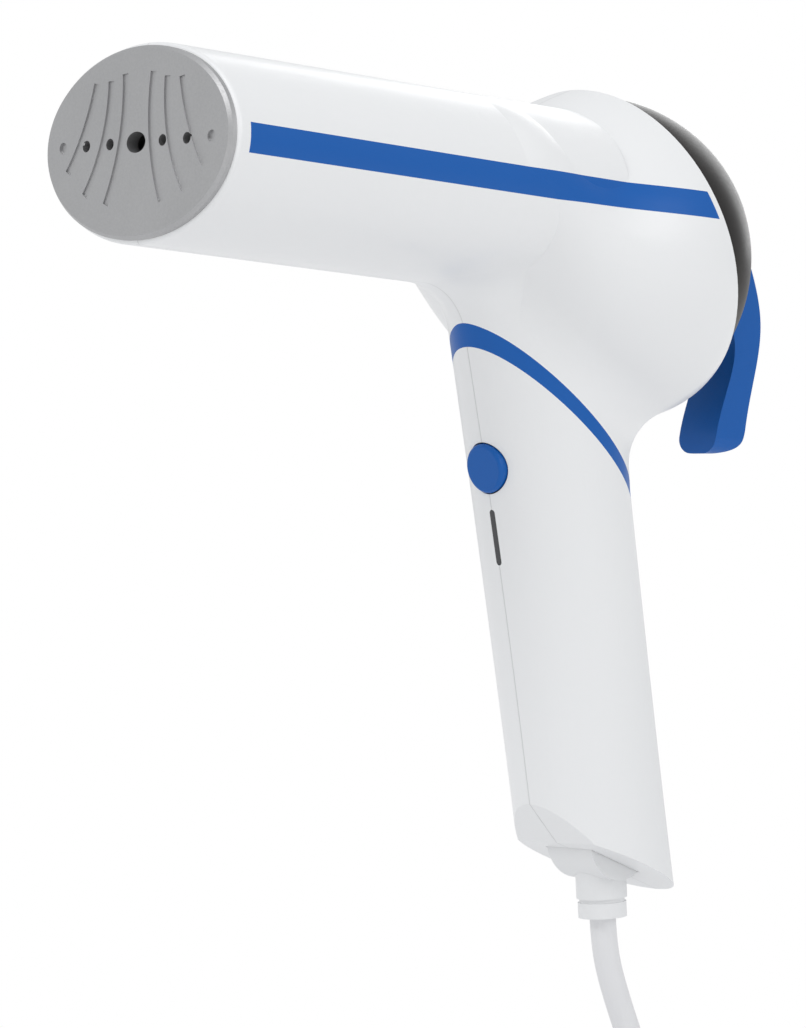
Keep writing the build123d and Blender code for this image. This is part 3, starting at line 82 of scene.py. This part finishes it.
class Wire:
    """One output of a shader node, which sums and products can be written with."""

    def __init__(self, bench: "Bench", socket: bpy.types.NodeSocket | None) -> None:
        """Keeps the socket and the bench that it stands on."""
        self.bench = bench
        self.socket = socket

    def maths(self, operation: str, first: "Wire | float", second: "Wire | float") -> "Wire":
        """Adds a Math node.

        Args:
            operation: the node's operation.
            first: its first value.
            second: its second value.

        Returns:
            The node's result.
        """
        return self.bench.node("ShaderNodeMath", {"operation": operation}, {0: first, 1: second})

    def __add__(self, other: "Wire | float") -> "Wire":
        """Sum."""
        return self.maths("ADD", self, other)

    def __sub__(self, other: "Wire | float") -> "Wire":
        """Difference."""
        return self.maths("SUBTRACT", self, other)

    def __rsub__(self, other: float) -> "Wire":
        """Difference from a number."""
        return self.maths("SUBTRACT", other, self)

    def __mul__(self, other: "Wire | float") -> "Wire":
        """Product."""
        return self.maths("MULTIPLY", self, other)

    __radd__ = __add__
    __rmul__ = __mul__

    def size(self) -> "Wire":
        """Value without its sign."""
        return self.maths("ABSOLUTE", self, 0.0)

    def below(self, edge: float, softness: float) -> "Wire":
        """Mask that is 1 under an edge and fades to 0 past it.

        Args:
            edge: value at which the mask starts to fade.
            softness: width of the fade.

        Returns:
            The mask, from 0 to 1.
        """
        return self.bench.node(
            "ShaderNodeMapRange",
            {"interpolation_type": "SMOOTHSTEP"},
            {0: self, 1: edge, 2: edge + softness, 3: 1.0, 4: 0.0},
        )


class Bench:
    """A material being made, one node at a time."""

    def __init__(self, name: str) -> None:
        """Starts an empty material.

        Args:
            name: the material's name.
        """
        self.material = bpy.data.materials.new(name)
        self.material.use_nodes = True
        self.tree = self.material.node_tree
        self.tree.nodes.clear()

    def node(
        self,
        kind: str,
        settings: dict[str, object] | None = None,
        inputs: dict[int | str, "Wire | float | tuple"] | None = None,
        output: int | str = 0,
    ) -> Wire:
        """Adds any node.

        Args:
            kind: the node's type.
            settings: its properties.
            inputs: the value or link of each of its sockets.
            output: which of its outputs is wanted.

        Returns:
            That output.
        """
        made = self.tree.nodes.new(kind)
        for key, value in (settings or {}).items():
            setattr(made, key, value)
        for key, value in (inputs or {}).items():
            socket = made.inputs[key]
            if isinstance(value, Wire):
                self.tree.links.new(value.socket, socket)
            else:
                socket.default_value = value
        return Wire(self, made.outputs[output] if made.outputs else None)

    def place(self, scale: Point = (1.0, 1.0, 1.0)) -> Wire:
        """Position on the object, in metres.

        Args:
            scale: how far each axis is stretched for the pattern.

        Returns:
            The scaled position.
        """
        here = self.node("ShaderNodeTexCoord", output="Object")
        return self.node("ShaderNodeMapping", inputs={"Vector": here, "Scale": scale})

    def axis(self, name: str) -> Wire:
        """One coordinate of the position on the object."""
        return self.node("ShaderNodeSeparateXYZ", inputs={0: self.place()}, output=name)

    def noise(self, scale: float, detail: float = 2.0, stretch: Point = (1.0, 1.0, 1.0)) -> Wire:
        """Noise from 0 to 1.

        Args:
            scale: cells to the metre.
            detail: octaves.
            stretch: how far each axis is stretched.

        Returns:
            The noise.
        """
        inputs = {"Vector": self.place(stretch), "Scale": scale, "Detail": detail}
        return self.node("ShaderNodeTexNoise", {"noise_dimensions": "3D"}, inputs)

    def blend(self, first: Colour, second: Colour, share: Wire) -> Wire:
        """Colour between two others.

        Args:
            first: colour where share is 0.
            second: colour where share is 1.
            share: the mix.

        Returns:
            The mixed colour.
        """
        inputs = {0: share, 6: (*first, 1.0), 7: (*second, 1.0)}
        return self.node("ShaderNodeMix", {"data_type": "RGBA"}, inputs, output=2)

    def relief(self, height: Wire, depth: float, under: Wire | None = None) -> Wire:
        """Bumped normal.

        Args:
            height: pattern of heights, from 0 to 1.
            depth: height of the pattern's full range, in metres.
            under: a normal that this one is added to.

        Returns:
            The normal.
        """
        inputs: dict[int | str, Wire | float | tuple] = {
            "Height": height, "Distance": depth, "Strength": 1.0,
        }
        if under is not None:
            inputs["Normal"] = under
        return self.node("ShaderNodeBump", inputs=inputs)

    def surface(self, inputs: dict[int | str, "Wire | float | tuple"]) -> bpy.types.Material:
        """Ends the material in a Principled shader.

        Args:
            inputs: the shader's sockets.

        Returns:
            The finished material.
        """
        shader = self.node("ShaderNodeBsdfPrincipled", inputs=inputs)
        self.node("ShaderNodeOutputMaterial", inputs={"Surface": shader})
        return self.material


@dataclass(frozen=True)
class Moulding:
    """Injection-moulded plastic or rubber: soft mottling, spark-eroded grain, handling marks."""

    name: str
    colour: Colour
    shade: Colour
    roughness: float = 0.36
    roughness_spread: float = 0.10
    grain_scale: float = 2600.0
    grain_depth: float = 0.000018
    flow_depth: float = 0.00010
    coat: float = 0.0
    coat_roughness: float = 0.12
    specular: float = 0.5
    mottle_scale: float = 14.0
    mottle_share: float = 0.35
    grain_share: float = 0.25
    handling_scale: float = 70.0
    flow_scale: float = 22.0
    seam: bool = False
    seam_half_width: float = 0.00008
    seam_softness: float = 0.00012
    seam_depth: float = 0.00012
    # Painted shade of the split line: its colour is darkened to this share of the colour, mixed in
    # at the weight below.
    seam_painted_shade: float = 0.62
    painted_seam_strength: float = 0.5

    def make(self) -> bpy.types.Material:
        """Builds the material."""
        bench = Bench(self.name)
        mottle = bench.noise(self.mottle_scale, 3.0)
        grain = bench.noise(self.grain_scale, 2.0)
        handling = bench.noise(self.handling_scale, 5.0)
        share = mottle * self.mottle_share + grain * self.grain_share
        colour = bench.blend(self.colour, self.shade, share)
        rough = self.roughness + (handling - NOISE_MIDDLE) * self.roughness_spread
        flow = bench.relief(bench.noise(self.flow_scale, 1.0), self.flow_depth)
        normal = bench.relief(grain, self.grain_depth, flow)
        # Split line at X = 0: a bump groove plus painted shade of the gap between the shell halves.
        if self.seam:
            line = bench.axis("X").size().below(self.seam_half_width, self.seam_softness)
            seam_shadow_colour = tuple(self.seam_painted_shade * part for part in self.colour)
            seamed = {0: line * self.painted_seam_strength, 6: colour, 7: (*seam_shadow_colour, 1.0)}
            colour = bench.node("ShaderNodeMix", {"data_type": "RGBA"}, seamed, output=2)
            normal = bench.relief(1 - line, self.seam_depth, normal)
        return bench.surface({
            "Base Color": colour, "Roughness": rough, "Normal": normal,
            "Coat Weight": self.coat, "Coat Roughness": self.coat_roughness,
            "Specular IOR Level": self.specular,
        })


@dataclass(frozen=True)
class CastMetal:
    """Metal with a fine blasted or brushed face and slightly cloudy tone."""

    name: str
    colour: Colour
    shade: Colour
    roughness: float = 0.40
    metallic: float = 1.0
    cloud_scale: float = 45.0
    cloud_spread: float = 0.10
    grain_scale: float = 1500.0
    grain_spread: float = 0.16
    grain_depth: float = 0.00003
    stretch: Point = (1.0, 1.0, 1.0)

    def make(self) -> bpy.types.Material:
        """Builds the material."""
        bench = Bench(self.name)
        clouds = bench.noise(self.cloud_scale, 4.0)
        grain = bench.noise(self.grain_scale, 3.0, self.stretch)
        colour = bench.blend(self.colour, self.shade, clouds * 0.5 + grain * 0.5)
        rough = self.roughness + (grain - NOISE_MIDDLE) * self.grain_spread
        rough = rough + (clouds - NOISE_MIDDLE) * self.cloud_spread
        return bench.surface({
            "Base Color": colour, "Roughness": rough, "Metallic": self.metallic,
            "Normal": bench.relief(grain, self.grain_depth),
        })


@dataclass(frozen=True)
class SmokedPlastic:
    """Dark smoked tank wall, with a painted highlight of refracted light that makes it browner and
    paler towards its lower edge.
    """

    name: str
    colour: Colour = (0.022, 0.021, 0.021)
    # Colour of the painted highlight: light refracted through the smoked wall near its lower edge.
    painted_rim_highlight: Colour = (0.075, 0.060, 0.047)
    # Height below which the painted highlight is full, and the height over which it fades out above
    # that.
    highlight_level: float = 0.062
    highlight_fade: float = 0.050
    roughness: float = 0.34
    specular: float = 0.08
    refraction: float = 1.49
    # How much of the painted highlight colour is mixed in.
    highlight_share: float = 0.8
    cloud_share: float = 0.15
    cloud_scale: float = 30.0
    cloud_spread: float = 0.08
    scuff_scale: float = 900.0
    scuff_spread: float = 0.10
    scuff_stretch: Point = (1.0, 0.25, 1.0)
    flow_scale: float = 26.0
    flow_depth: float = 0.00012

    def make(self) -> bpy.types.Material:
        """Builds the material."""
        bench = Bench(self.name)
        # Mask of the painted highlight: full on the lower part of the dome, fading out higher up.
        highlight_mask = bench.axis("Z").below(self.highlight_level, self.highlight_fade)
        clouds = bench.noise(self.cloud_scale, 3.0)
        scuffs = bench.noise(self.scuff_scale, 4.0, self.scuff_stretch)
        share = highlight_mask * self.highlight_share + clouds * self.cloud_share
        colour = bench.blend(self.colour, self.painted_rim_highlight, share)
        rough = self.roughness + (scuffs - NOISE_MIDDLE) * self.scuff_spread
        rough = rough + (clouds - NOISE_MIDDLE) * self.cloud_spread
        return bench.surface({
            "Base Color": colour, "Roughness": rough,
            "Normal": bench.relief(bench.noise(self.flow_scale, 1.0), self.flow_depth),
            "Specular IOR Level": self.specular, "IOR": self.refraction,
        })


@dataclass(frozen=True)
class Winding:
    """Wound or taped layer: fine bands round the part."""

    name: str
    colour: Colour
    shade: Colour
    band: float = 900.0
    distortion: float = 1.5
    band_share: float = 0.7
    roughness: float = 0.35
    roughness_scale: float = 300.0
    roughness_spread: float = 0.25
    depth: float = 0.00008

    def make(self) -> bpy.types.Material:
        """Builds the material."""
        bench = Bench(self.name)
        settings = {"wave_type": "BANDS", "bands_direction": "Y"}
        inputs = {"Vector": bench.place(), "Scale": self.band, "Distortion": self.distortion}
        bands = bench.node("ShaderNodeTexWave", settings, inputs, output=1)
        return bench.surface({
            "Base Color": bench.blend(self.colour, self.shade, bands * self.band_share),
            "Roughness": self.roughness + self.roughness_spread * bench.noise(self.roughness_scale),
            "Normal": bench.relief(bands, self.depth),
        })


class Palette:
    """Every finish, by the slot that it dresses."""

    def __init__(self) -> None:
        """Makes all the materials."""
        white = ((0.86, 0.865, 0.87), (0.81, 0.815, 0.825))
        sheath = ((0.80, 0.80, 0.81), (0.73, 0.73, 0.745))
        finishes = {
            Slot.WHITE: Moulding("white_moulding", *white, seam=True, coat=0.12),
            Slot.BLUE: Moulding("blue_moulding", (0.004, 0.112, 0.440), (0.003, 0.090, 0.370),
                                roughness=0.34, grain_scale=3200.0, specular=0.28),
            Slot.CAST: CastMetal("cast_plate", (0.54, 0.54, 0.545), (0.40, 0.40, 0.405),
                                 roughness=0.44, metallic=0.85),
            Slot.SMOKED: SmokedPlastic("smoked_dome"),
            Slot.TANK: Moulding("dark_moulding", (0.030, 0.030, 0.032), (0.020, 0.020, 0.022)),
            Slot.WINDOW: Moulding("tinted_window", (0.036, 0.036, 0.040), (0.024, 0.024, 0.028),
                                  roughness=0.16, roughness_spread=0.06, coat=0.4),
            Slot.SEAL: Moulding("red_silicone", (0.42, 0.09, 0.05), (0.34, 0.07, 0.04),
                                roughness=0.55),
            Slot.HOSE: Moulding("clear_hose", (0.66, 0.66, 0.60), (0.58, 0.58, 0.52),
                                roughness=0.42),
            Slot.INNER: Moulding("heat_moulding", (0.60, 0.60, 0.54), (0.52, 0.52, 0.46),
                                 roughness=0.55),
            Slot.STEEL: CastMetal("plated_steel", (0.60, 0.60, 0.60), (0.46, 0.46, 0.47),
                                  roughness=0.30, stretch=(1.0, 6.0, 1.0)),
            Slot.SHIELD: CastMetal("shield_sheet", (0.74, 0.74, 0.74), (0.62, 0.62, 0.62),
                                   roughness=0.34, stretch=(1.0, 0.1, 1.0)),
            Slot.WINDING: Winding("taped_winding", (0.36, 0.10, 0.04), (0.22, 0.05, 0.02)),
            Slot.BOARD: Winding("lacquered_board", (0.03, 0.20, 0.09), (0.02, 0.13, 0.06), 1600.0),
            Slot.LAMP: Moulding("red_lens", (0.60, 0.04, 0.02), (0.50, 0.03, 0.02),
                                roughness=0.15, coat=0.5),
            Slot.SHEATH: Moulding("cord_sheath", *sheath, roughness=0.48, grain_scale=3600.0,
                                  grain_depth=0.00003),
            Slot.OUTLET: Moulding("outlet_moulding", (0.83, 0.835, 0.84), (0.77, 0.775, 0.785),
                                  roughness=0.42),
            Slot.BRASS: CastMetal("plated_pins", (0.66, 0.60, 0.46), (0.56, 0.50, 0.36),
                                  roughness=0.26, stretch=(4.0, 4.0, 1.0)),
        }
        self.materials = {slot: finish.make() for slot, finish in finishes.items()}

    def dress_frame(self) -> None:
        """Gives every node of the frame the finish of its slot."""
        slots = {part["node"]: Slot(part["material_slot"]) for part in frame["record"]["subparts"]}
        for name, node in sorted(frame["nodes"].items()):
            material = self.materials[slots[name]]
            if not node.material_slots:
                node.data.materials.append(material)
            for place in node.material_slots:
                place.material = material
            LOG.info("%s dressed in %s", name, material.name)


@dataclass
class GeometryTree:
    """A Geometry Nodes tree that ends in realised instances of one material."""

    name: str
    material: bpy.types.Material

    def __post_init__(self) -> None:
        """Starts the tree with its mesh input and output."""
        self.tree = bpy.data.node_groups.new(self.name, "GeometryNodeTree")
        face = self.tree.interface
        face.new_socket("Geometry", in_out="INPUT", socket_type="NodeSocketGeometry")
        face.new_socket("Geometry", in_out="OUTPUT", socket_type="NodeSocketGeometry")
        self.sizes: dict[str, float] = {}

    def size(self, name: str, value: float) -> None:
        """Adds a named size to the tree.

        Args:
            name: the input's name.
            value: its value, in metres or as a number.
        """
        self.tree.interface.new_socket(name, in_out="INPUT", socket_type="NodeSocketFloat")
        self.sizes[name] = value

    def start(self) -> bpy.types.Node:
        """Adds the group's input node, once all the sizes are named."""
        return self.tree.nodes.new("NodeGroupInput")

    def node(
        self,
        kind: str,
        settings: dict[str, object] | None = None,
        inputs: dict[int | str, object] | None = None,
        output: int | str = 0,
    ) -> bpy.types.NodeSocket:
        """Adds any node.

        Args:
            kind: the node's type.
            settings: its properties.
            inputs: the value or link of each of its sockets.
            output: which of its outputs is wanted.

        Returns:
            That output.
        """
        made = self.tree.nodes.new(kind)
        for key, value in (settings or {}).items():
            setattr(made, key, value)
        for key, value in (inputs or {}).items():
            if isinstance(value, bpy.types.NodeSocket):
                self.tree.links.new(value, made.inputs[key])
            else:
                made.inputs[key].default_value = value
        return made.outputs[output]

    def finish(self, geometry: bpy.types.NodeSocket) -> None:
        """Ends the tree: instances are realised and take the material.

        Args:
            geometry: what the tree has made.
        """
        real = self.node("GeometryNodeRealizeInstances", inputs={0: geometry})
        painted = self.node(
            "GeometryNodeSetMaterial", inputs={"Geometry": real, "Material": self.material}
        )
        end = self.tree.nodes.new("NodeGroupOutput")
        self.tree.links.new(painted, end.inputs[0])

    def grow(self, seeds: bpy.types.Object) -> bpy.types.Object:
        """Runs the tree on an object and keeps the result as a plain mesh.

        Args:
            seeds: the object whose mesh or curve the tree works on.

        Returns:
            A new object with the finished mesh.
        """
        modifier = seeds.modifiers.new(self.name, "NODES")
        modifier.node_group = self.tree
        for item in self.tree.interface.items_tree:
            if item.in_out == "INPUT" and item.name in self.sizes:
                modifier[item.identifier] = self.sizes[item.name]
        depsgraph = bpy.context.evaluated_depsgraph_get()
        mesh = bpy.data.meshes.new_from_object(seeds.evaluated_get(depsgraph))
        seeds.modifiers.remove(modifier)
        bpy.data.objects.remove(seeds)
        mesh.name = self.name
        if not mesh.materials:
            mesh.materials.append(self.material)
        return link(bpy.data.objects.new(self.name, mesh))


def link(piece: bpy.types.Object) -> bpy.types.Object:
    """Puts an object in the scene and returns it."""
    bpy.context.scene.collection.objects.link(piece)
    return piece


@dataclass
class MainsCord:
    """Mains lead: hangs from the outlet, is wound into a tied coil and ends in a plug."""

    exit: Point = (0.0, 0.0210, -0.08718)
    diameter: float = 0.0078
    length: float = 1.75
    coil_x: float = -0.0053
    coil_z: float = -0.2150
    first_lane: float = 0.0508
    inner_lane: float = 0.0313
    lane_pitch: float = 0.0078
    outer_radius: float = 0.0449
    inner_radius: float = 0.0381
    lift: float = 0.0012
    dip: float = 0.0009
    points_per_turn: int = 16
    start_angle: float = math.radians(45.0)
    steps: int = 98

    hanging: tuple[Point, ...] = (
        (0.0, 0.0210, -0.08718),
        (0.0, 0.02194, -0.09412),
        (0.0, 0.0246, -0.1030),
        (0.0, 0.0294, -0.1130),
        (0.0, 0.0358, -0.1250),
        (0.0005, 0.0420, -0.1400),
        (0.0035, 0.0470, -0.1550),
        (0.0115, 0.0502, -0.1690),
        (0.0264, 0.0508, -0.1833),
    )
    tail: tuple[Point, ...] = (
        (0.0331, 0.0582, -0.2280),
        (0.0334, 0.0614, -0.2420),
        (0.0334, 0.0614, -0.2570),
    )
    outer_moves: tuple[int, ...] = (10, 26)
    outer_move_steps: int = 5
    change_step: int = 42
    inner_moves: tuple[int, ...] = (52, 68, 84)
    inner_move_steps: int = 6

    def progress(self, step: int, begin: int, count: int) -> float:
        """Share of a sideways move that is done at a step, eased at both ends.

        Args:
            step: the point's number round the coil.
            begin: where the move starts.
            count: how many steps it takes.

        Returns:
            The share, from 0 to 1.
        """
        share = min(max((step - begin) / count, 0.0), 1.0)
        return share * share * (3 - 2 * share)

    def bulge(self, step: int, begin: int, count: int) -> float:
        """Hump that is 1 in the middle of a move and 0 outside it."""
        share = min(max((step - begin) / count, 0.0), 1.0)
        return math.sin(math.pi * share) ** 2

    def turn_point(self, step: int) -> Point:
        """Control point of the coil.

        Args:
            step: the point's number round the coil.

        Returns:
            Its place.
        """
        lane = self.first_lane
        radius = self.outer_radius
        for begin in self.outer_moves:
            lane -= self.lane_pitch * self.progress(step, begin, self.outer_move_steps)
            radius += self.lift * self.bulge(step, begin, self.outer_move_steps)
        change = self.progress(step, self.change_step, self.outer_move_steps)
        outer_last = self.first_lane - len(self.outer_moves) * self.lane_pitch
        lane += (self.inner_lane - outer_last) * change
        lane -= self.dip * self.bulge(step, self.change_step, self.outer_move_steps)
        radius += (self.inner_radius - self.outer_radius) * change
        for begin in self.inner_moves:
            lane += self.lane_pitch * self.progress(step, begin, self.inner_move_steps)
            radius -= self.lift * self.bulge(step, begin, self.inner_move_steps)
        spread = (3 + math.cos(FULL_TURN / self.points_per_turn)) / 4
        angle = self.start_angle - FULL_TURN * step / self.points_per_turn
        reach = radius / spread
        return (
            self.coil_x + reach * math.cos(angle),
            lane,
            self.coil_z + reach * math.sin(angle),
        )

    def build(self, material: bpy.types.Material) -> bpy.types.Object:
        """Makes the cord as one smooth curve.

        Args:
            material: the sheath's finish.

        Returns:
            The curve object.
        """
        route = list(self.hanging)
        route += [self.turn_point(step) for step in range(1, self.steps + 1)]
        route += list(self.tail)
        curve = bpy.data.curves.new("mains_cord", "CURVE")
        curve.dimensions = "3D"
        curve.resolution_u = 8
        spline = curve.splines.new("NURBS")
        spline.points.add(len(route) - 1)
        for point, place in zip(spline.points, route):
            point.co = (*place, 1.0)
        spline.order_u = 3
        spline.use_endpoint_u = True
        curve.bevel_depth = self.diameter / 2
        curve.bevel_resolution = 5
        curve.use_fill_caps = True
        curve.materials.append(material)
        return link(bpy.data.objects.new("mains_cord", curve))

    def fit(self, material: bpy.types.Material, extras: list[object]) -> None:
        """Builds the cord and joins it to the frame.

        Args:
            material: the sheath's finish.
            extras: the pieces and nodes that sit on the cord; not used.
        """
        piece = self.build(material)
        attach(piece, "outlet")
        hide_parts("power_cord", "cord_coil", "cord_tail")
        LOG.info("mains cord with %d points", len(self.hanging) + self.steps + len(self.tail))


@dataclass
class JoiningScrews:
    """Cross-recess screws down the wells of the left shells."""

    name: str
    node: str
    places: tuple[Point, ...]
    head_radius: float
    head_height: float
    shank_radius: float
    shank_length: float
    recess_width: float = 0.0008
    recess_depth: float = 0.0011
    recess_span: float = 1.15
    head_taper: float = 0.72
    head_sides: int = 32
    shank_taper: float = 0.6
    shank_sides: int = 20
    turn: float = math.radians(-90.0)

    def head(self, made: GeometryTree, given: bpy.types.bpy_prop_collection) -> object:
        """Adds the cone-shaped head with its cross recess.

        Args:
            made: the tree.
            given: the tree's inputs.

        Returns:
            The head's geometry socket.
        """
        cone = made.node("GeometryNodeMeshCone", inputs={
            "Vertices": self.head_sides, "Radius Top": self.head_radius * self.head_taper,
            "Radius Bottom": given["Head Radius"], "Depth": given["Head Height"],
        })
        cut = made.tree.nodes.new("GeometryNodeMeshBoolean")
        cut.operation = "DIFFERENCE"
        made.tree.links.new(cone, cut.inputs["Mesh 1"])
        multiply = {"operation": "MULTIPLY"}
        length = made.node("ShaderNodeMath", multiply,
                           {0: given["Head Radius"], 1: self.recess_span})
        deep = made.node("ShaderNodeMath", multiply, {0: given["Recess Depth"], 1: 2.0})
        lift = made.node("ShaderNodeCombineXYZ", inputs={2: given["Head Height"]})
        width = given["Recess Width"]
        for along, across in ((length, width), (width, length)):
            size = made.node("ShaderNodeCombineXYZ", inputs={0: along, 1: across, 2: deep})
            arm = made.node("GeometryNodeMeshCube", inputs={"Size": size})
            placed = {"Geometry": arm, "Translation": lift}
            made.tree.links.new(made.node("GeometryNodeTransform", inputs=placed),
                                cut.inputs["Mesh 2"])
        return cut.outputs[0]

    def shank(self, made: GeometryTree, given: bpy.types.bpy_prop_collection) -> object:
        """Adds the tapered shank under the head.

        Args:
            made: the tree.
            given: the tree's inputs.

        Returns:
            The shank's geometry socket.
        """
        cone = made.node("GeometryNodeMeshCone", inputs={
            "Vertices": self.shank_sides, "Radius Top": given["Shank Radius"],
            "Radius Bottom": self.shank_radius * self.shank_taper,
            "Depth": given["Shank Length"],
        })
        down = made.node("ShaderNodeMath", {"operation": "MULTIPLY"},
                         {0: given["Shank Length"], 1: -1.0})
        drop = made.node("ShaderNodeCombineXYZ", inputs={2: down})
        return made.node("GeometryNodeTransform", inputs={"Geometry": cone, "Translation": drop})

    def tree(self, material: bpy.types.Material) -> GeometryTree:
        """Makes the tree that grows a screw on each seed.

        Args:
            material: the screws' finish.

        Returns:
            The tree.
        """
        made = GeometryTree(self.name, material)
        made.size("Head Radius", self.head_radius)
        made.size("Head Height", self.head_height)
        made.size("Shank Radius", self.shank_radius)
        made.size("Shank Length", self.shank_length)
        made.size("Recess Width", self.recess_width)
        made.size("Recess Depth", self.recess_depth)
        given = made.start().outputs
        whole = made.tree.nodes.new("GeometryNodeJoinGeometry")
        made.tree.links.new(self.head(made, given), whole.inputs[0])
        made.tree.links.new(self.shank(made, given), whole.inputs[0])
        turned = made.node("ShaderNodeCombineXYZ", inputs={1: self.turn})
        spots = made.node("GeometryNodeInstanceOnPoints", inputs={
            "Points": given["Geometry"], "Instance": whole.outputs[0], "Rotation": turned,
        })
        made.finish(spots)
        return made

    def fit(self, material: bpy.types.Material) -> None:
        """Grows the screws and puts them in place of the frame's plain ones.

        Args:
            material: the screws' finish.
        """
        mesh = bpy.data.meshes.new(self.name + "_seeds")
        mesh.from_pydata([Vector(place) for place in self.places], [], [])
        seeds = link(bpy.data.objects.new(self.name + "_seeds", mesh))
        piece = self.tree(material).grow(seeds)
        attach(piece, "main_body")
        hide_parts(self.node)
        LOG.info("%s: %d screws", self.name, len(self.places))


BODY_SET = JoiningScrews(
    "body_joining_screws", "body_screws",
    places=((-0.020, -0.088, 0.133), (-0.020, -0.0305, 0.133), (-0.020, -0.015, 0.088)),
    head_radius=0.0028, head_height=0.0022, shank_radius=0.0014, shank_length=0.0295,
)
HANDLE_SET = JoiningScrews(
    "handle_joining_screws", "handle_screws",
    places=((-0.011, 0.0064, 0.028), (-0.011, 0.0187, -0.024), (-0.011, -0.0017, -0.052)),
    head_radius=0.0028, head_height=0.0022, shank_radius=0.0014, shank_length=0.0205,
)


@dataclass(frozen=True)
class SoftLight:
    """A square light aimed at the object: its place, the side of its face and its power."""

    name: str
    place: Point
    size: float
    power: float

    def hang(self) -> None:
        """Adds the light."""
        data = bpy.data.lights.new(self.name, "AREA")
        data.shape = "SQUARE"
        data.size = self.size
        data.energy = self.power
        light = link(bpy.data.objects.new(self.name, data))
        light.location = self.place
        light.rotation_euler = (-Vector(self.place)).to_track_quat("-Z", "Y").to_euler()


@dataclass
class Studio:
    """Pale floor, bright room, soft lights and the camera."""

    camera_place: Point = (1.0165, -0.9919, -0.0329)
    camera_right: Point = (0.67398, 0.73715, 0.04868)
    camera_up: Point = (-0.00115, -0.06485, 0.99789)
    camera_back: Point = (0.73875, -0.67261, -0.04286)
    lens: float = 216.5
    sensor: float = 36.0
    floor_level: float = -0.3315
    floor_radius: float = 9.0
    sky: float = 1.0
    room: float = 0.66
    room_tint: tuple[float, float, float, float] = (0.97, 0.985, 1.0, 1.0)
    floor_colour: Colour = (0.88, 0.88, 0.885)
    floor_shade: Colour = (0.84, 0.84, 0.845)
    glow_start: float = 0.5
    glow_fade: float = 2.0
    lights: tuple[SoftLight, ...] = (
        SoftLight("key_light", (0.1, -1.7, 1.6), 1.3, 17.0),
        SoftLight("side_light", (1.9, 0.3, 0.9), 0.9, 7.0),
        SoftLight("back_light", (-0.9, 1.7, 0.9), 1.2, 8.0),
    )

    def set_camera(self) -> None:
        """Adds the camera at the viewing angle."""
        data = bpy.data.cameras.new("camera")
        data.lens = self.lens
        data.sensor_width = self.sensor
        data.sensor_fit = "HORIZONTAL"
        data.clip_start = 0.05
        data.clip_end = 60.0
        camera = link(bpy.data.objects.new("camera", data))
        turn = Matrix((self.camera_right, self.camera_up, self.camera_back)).transposed()
        camera.matrix_world = Matrix.Translation(self.camera_place) @ turn.to_4x4()
        bpy.context.scene.camera = camera

    def set_floor(self) -> None:
        """Lays a plain pale floor, which fades into the bright room far away."""
        mesh = bpy.data.meshes.new("studio_floor")
        shape = bmesh.new()
        bmesh.ops.create_circle(shape, cap_ends=True, segments=96, radius=self.floor_radius)
        bmesh.ops.translate(shape, verts=shape.verts, vec=(0.0, 0.0, self.floor_level))
        shape.to_mesh(mesh)
        shape.free()
        bench = Bench("pale_floor")
        tint = bench.blend(self.floor_colour, self.floor_shade, bench.noise(3.0, 3.0))
        shader = bench.node("ShaderNodeBsdfDiffuse", inputs={"Color": tint})
        glow = bench.node("ShaderNodeEmission", inputs={"Color": WHITE, "Strength": self.sky})
        away = bench.node("ShaderNodeVectorMath", {"operation": "LENGTH"}, {0: bench.place()},
                          output="Value")
        near = away.below(self.glow_start, self.glow_fade)
        mixed = bench.node("ShaderNodeMixShader", inputs={0: near, 1: glow, 2: shader})
        bench.node("ShaderNodeOutputMaterial", inputs={"Surface": mixed})
        mesh.materials.append(bench.material)
        link(bpy.data.objects.new("studio_floor", mesh))

    def set_world(self) -> None:
        """Makes the room: white behind the object, softer where it lights it."""
        world = bpy.data.worlds.new("bright_room")
        world.use_nodes = True
        tree = world.node_tree
        shown = tree.nodes["Background"]
        shown.inputs["Color"].default_value = WHITE
        shown.inputs["Strength"].default_value = self.sky
        lighting = tree.nodes.new("ShaderNodeBackground")
        lighting.inputs["Color"].default_value = self.room_tint
        lighting.inputs["Strength"].default_value = self.room
        path = tree.nodes.new("ShaderNodeLightPath")
        either = tree.nodes.new("ShaderNodeMixShader")
        tree.links.new(path.outputs["Is Camera Ray"], either.inputs[0])
        tree.links.new(lighting.outputs[0], either.inputs[1])
        tree.links.new(shown.outputs[0], either.inputs[2])
        tree.links.new(either.outputs[0], tree.nodes["World Output"].inputs["Surface"])
        bpy.context.scene.world = world
        bpy.context.scene.view_settings.view_transform = "Standard"

    def build(self) -> None:
        """Sets up the whole studio."""
        self.set_camera()
        self.set_floor()
        self.set_world()
        for light in self.lights:
            light.hang()


def main() -> None:
    """Builds the studio and every piece, in order."""
    logging.basicConfig(level=logging.INFO, format="%(name)s: %(message)s")
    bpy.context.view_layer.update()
    Studio().build()
    palette = Palette()
    palette.dress_frame()
    materials = palette.materials
    for screws in (BODY_SET, HANDLE_SET):
        screws.fit(materials[Slot.STEEL])
    MainsCord().fit(materials[Slot.SHEATH], [frame["nodes"][name] for name in (
        "cord_tie", "plug_body", "plug_pins")])


if __name__ == "__main__":
    main()
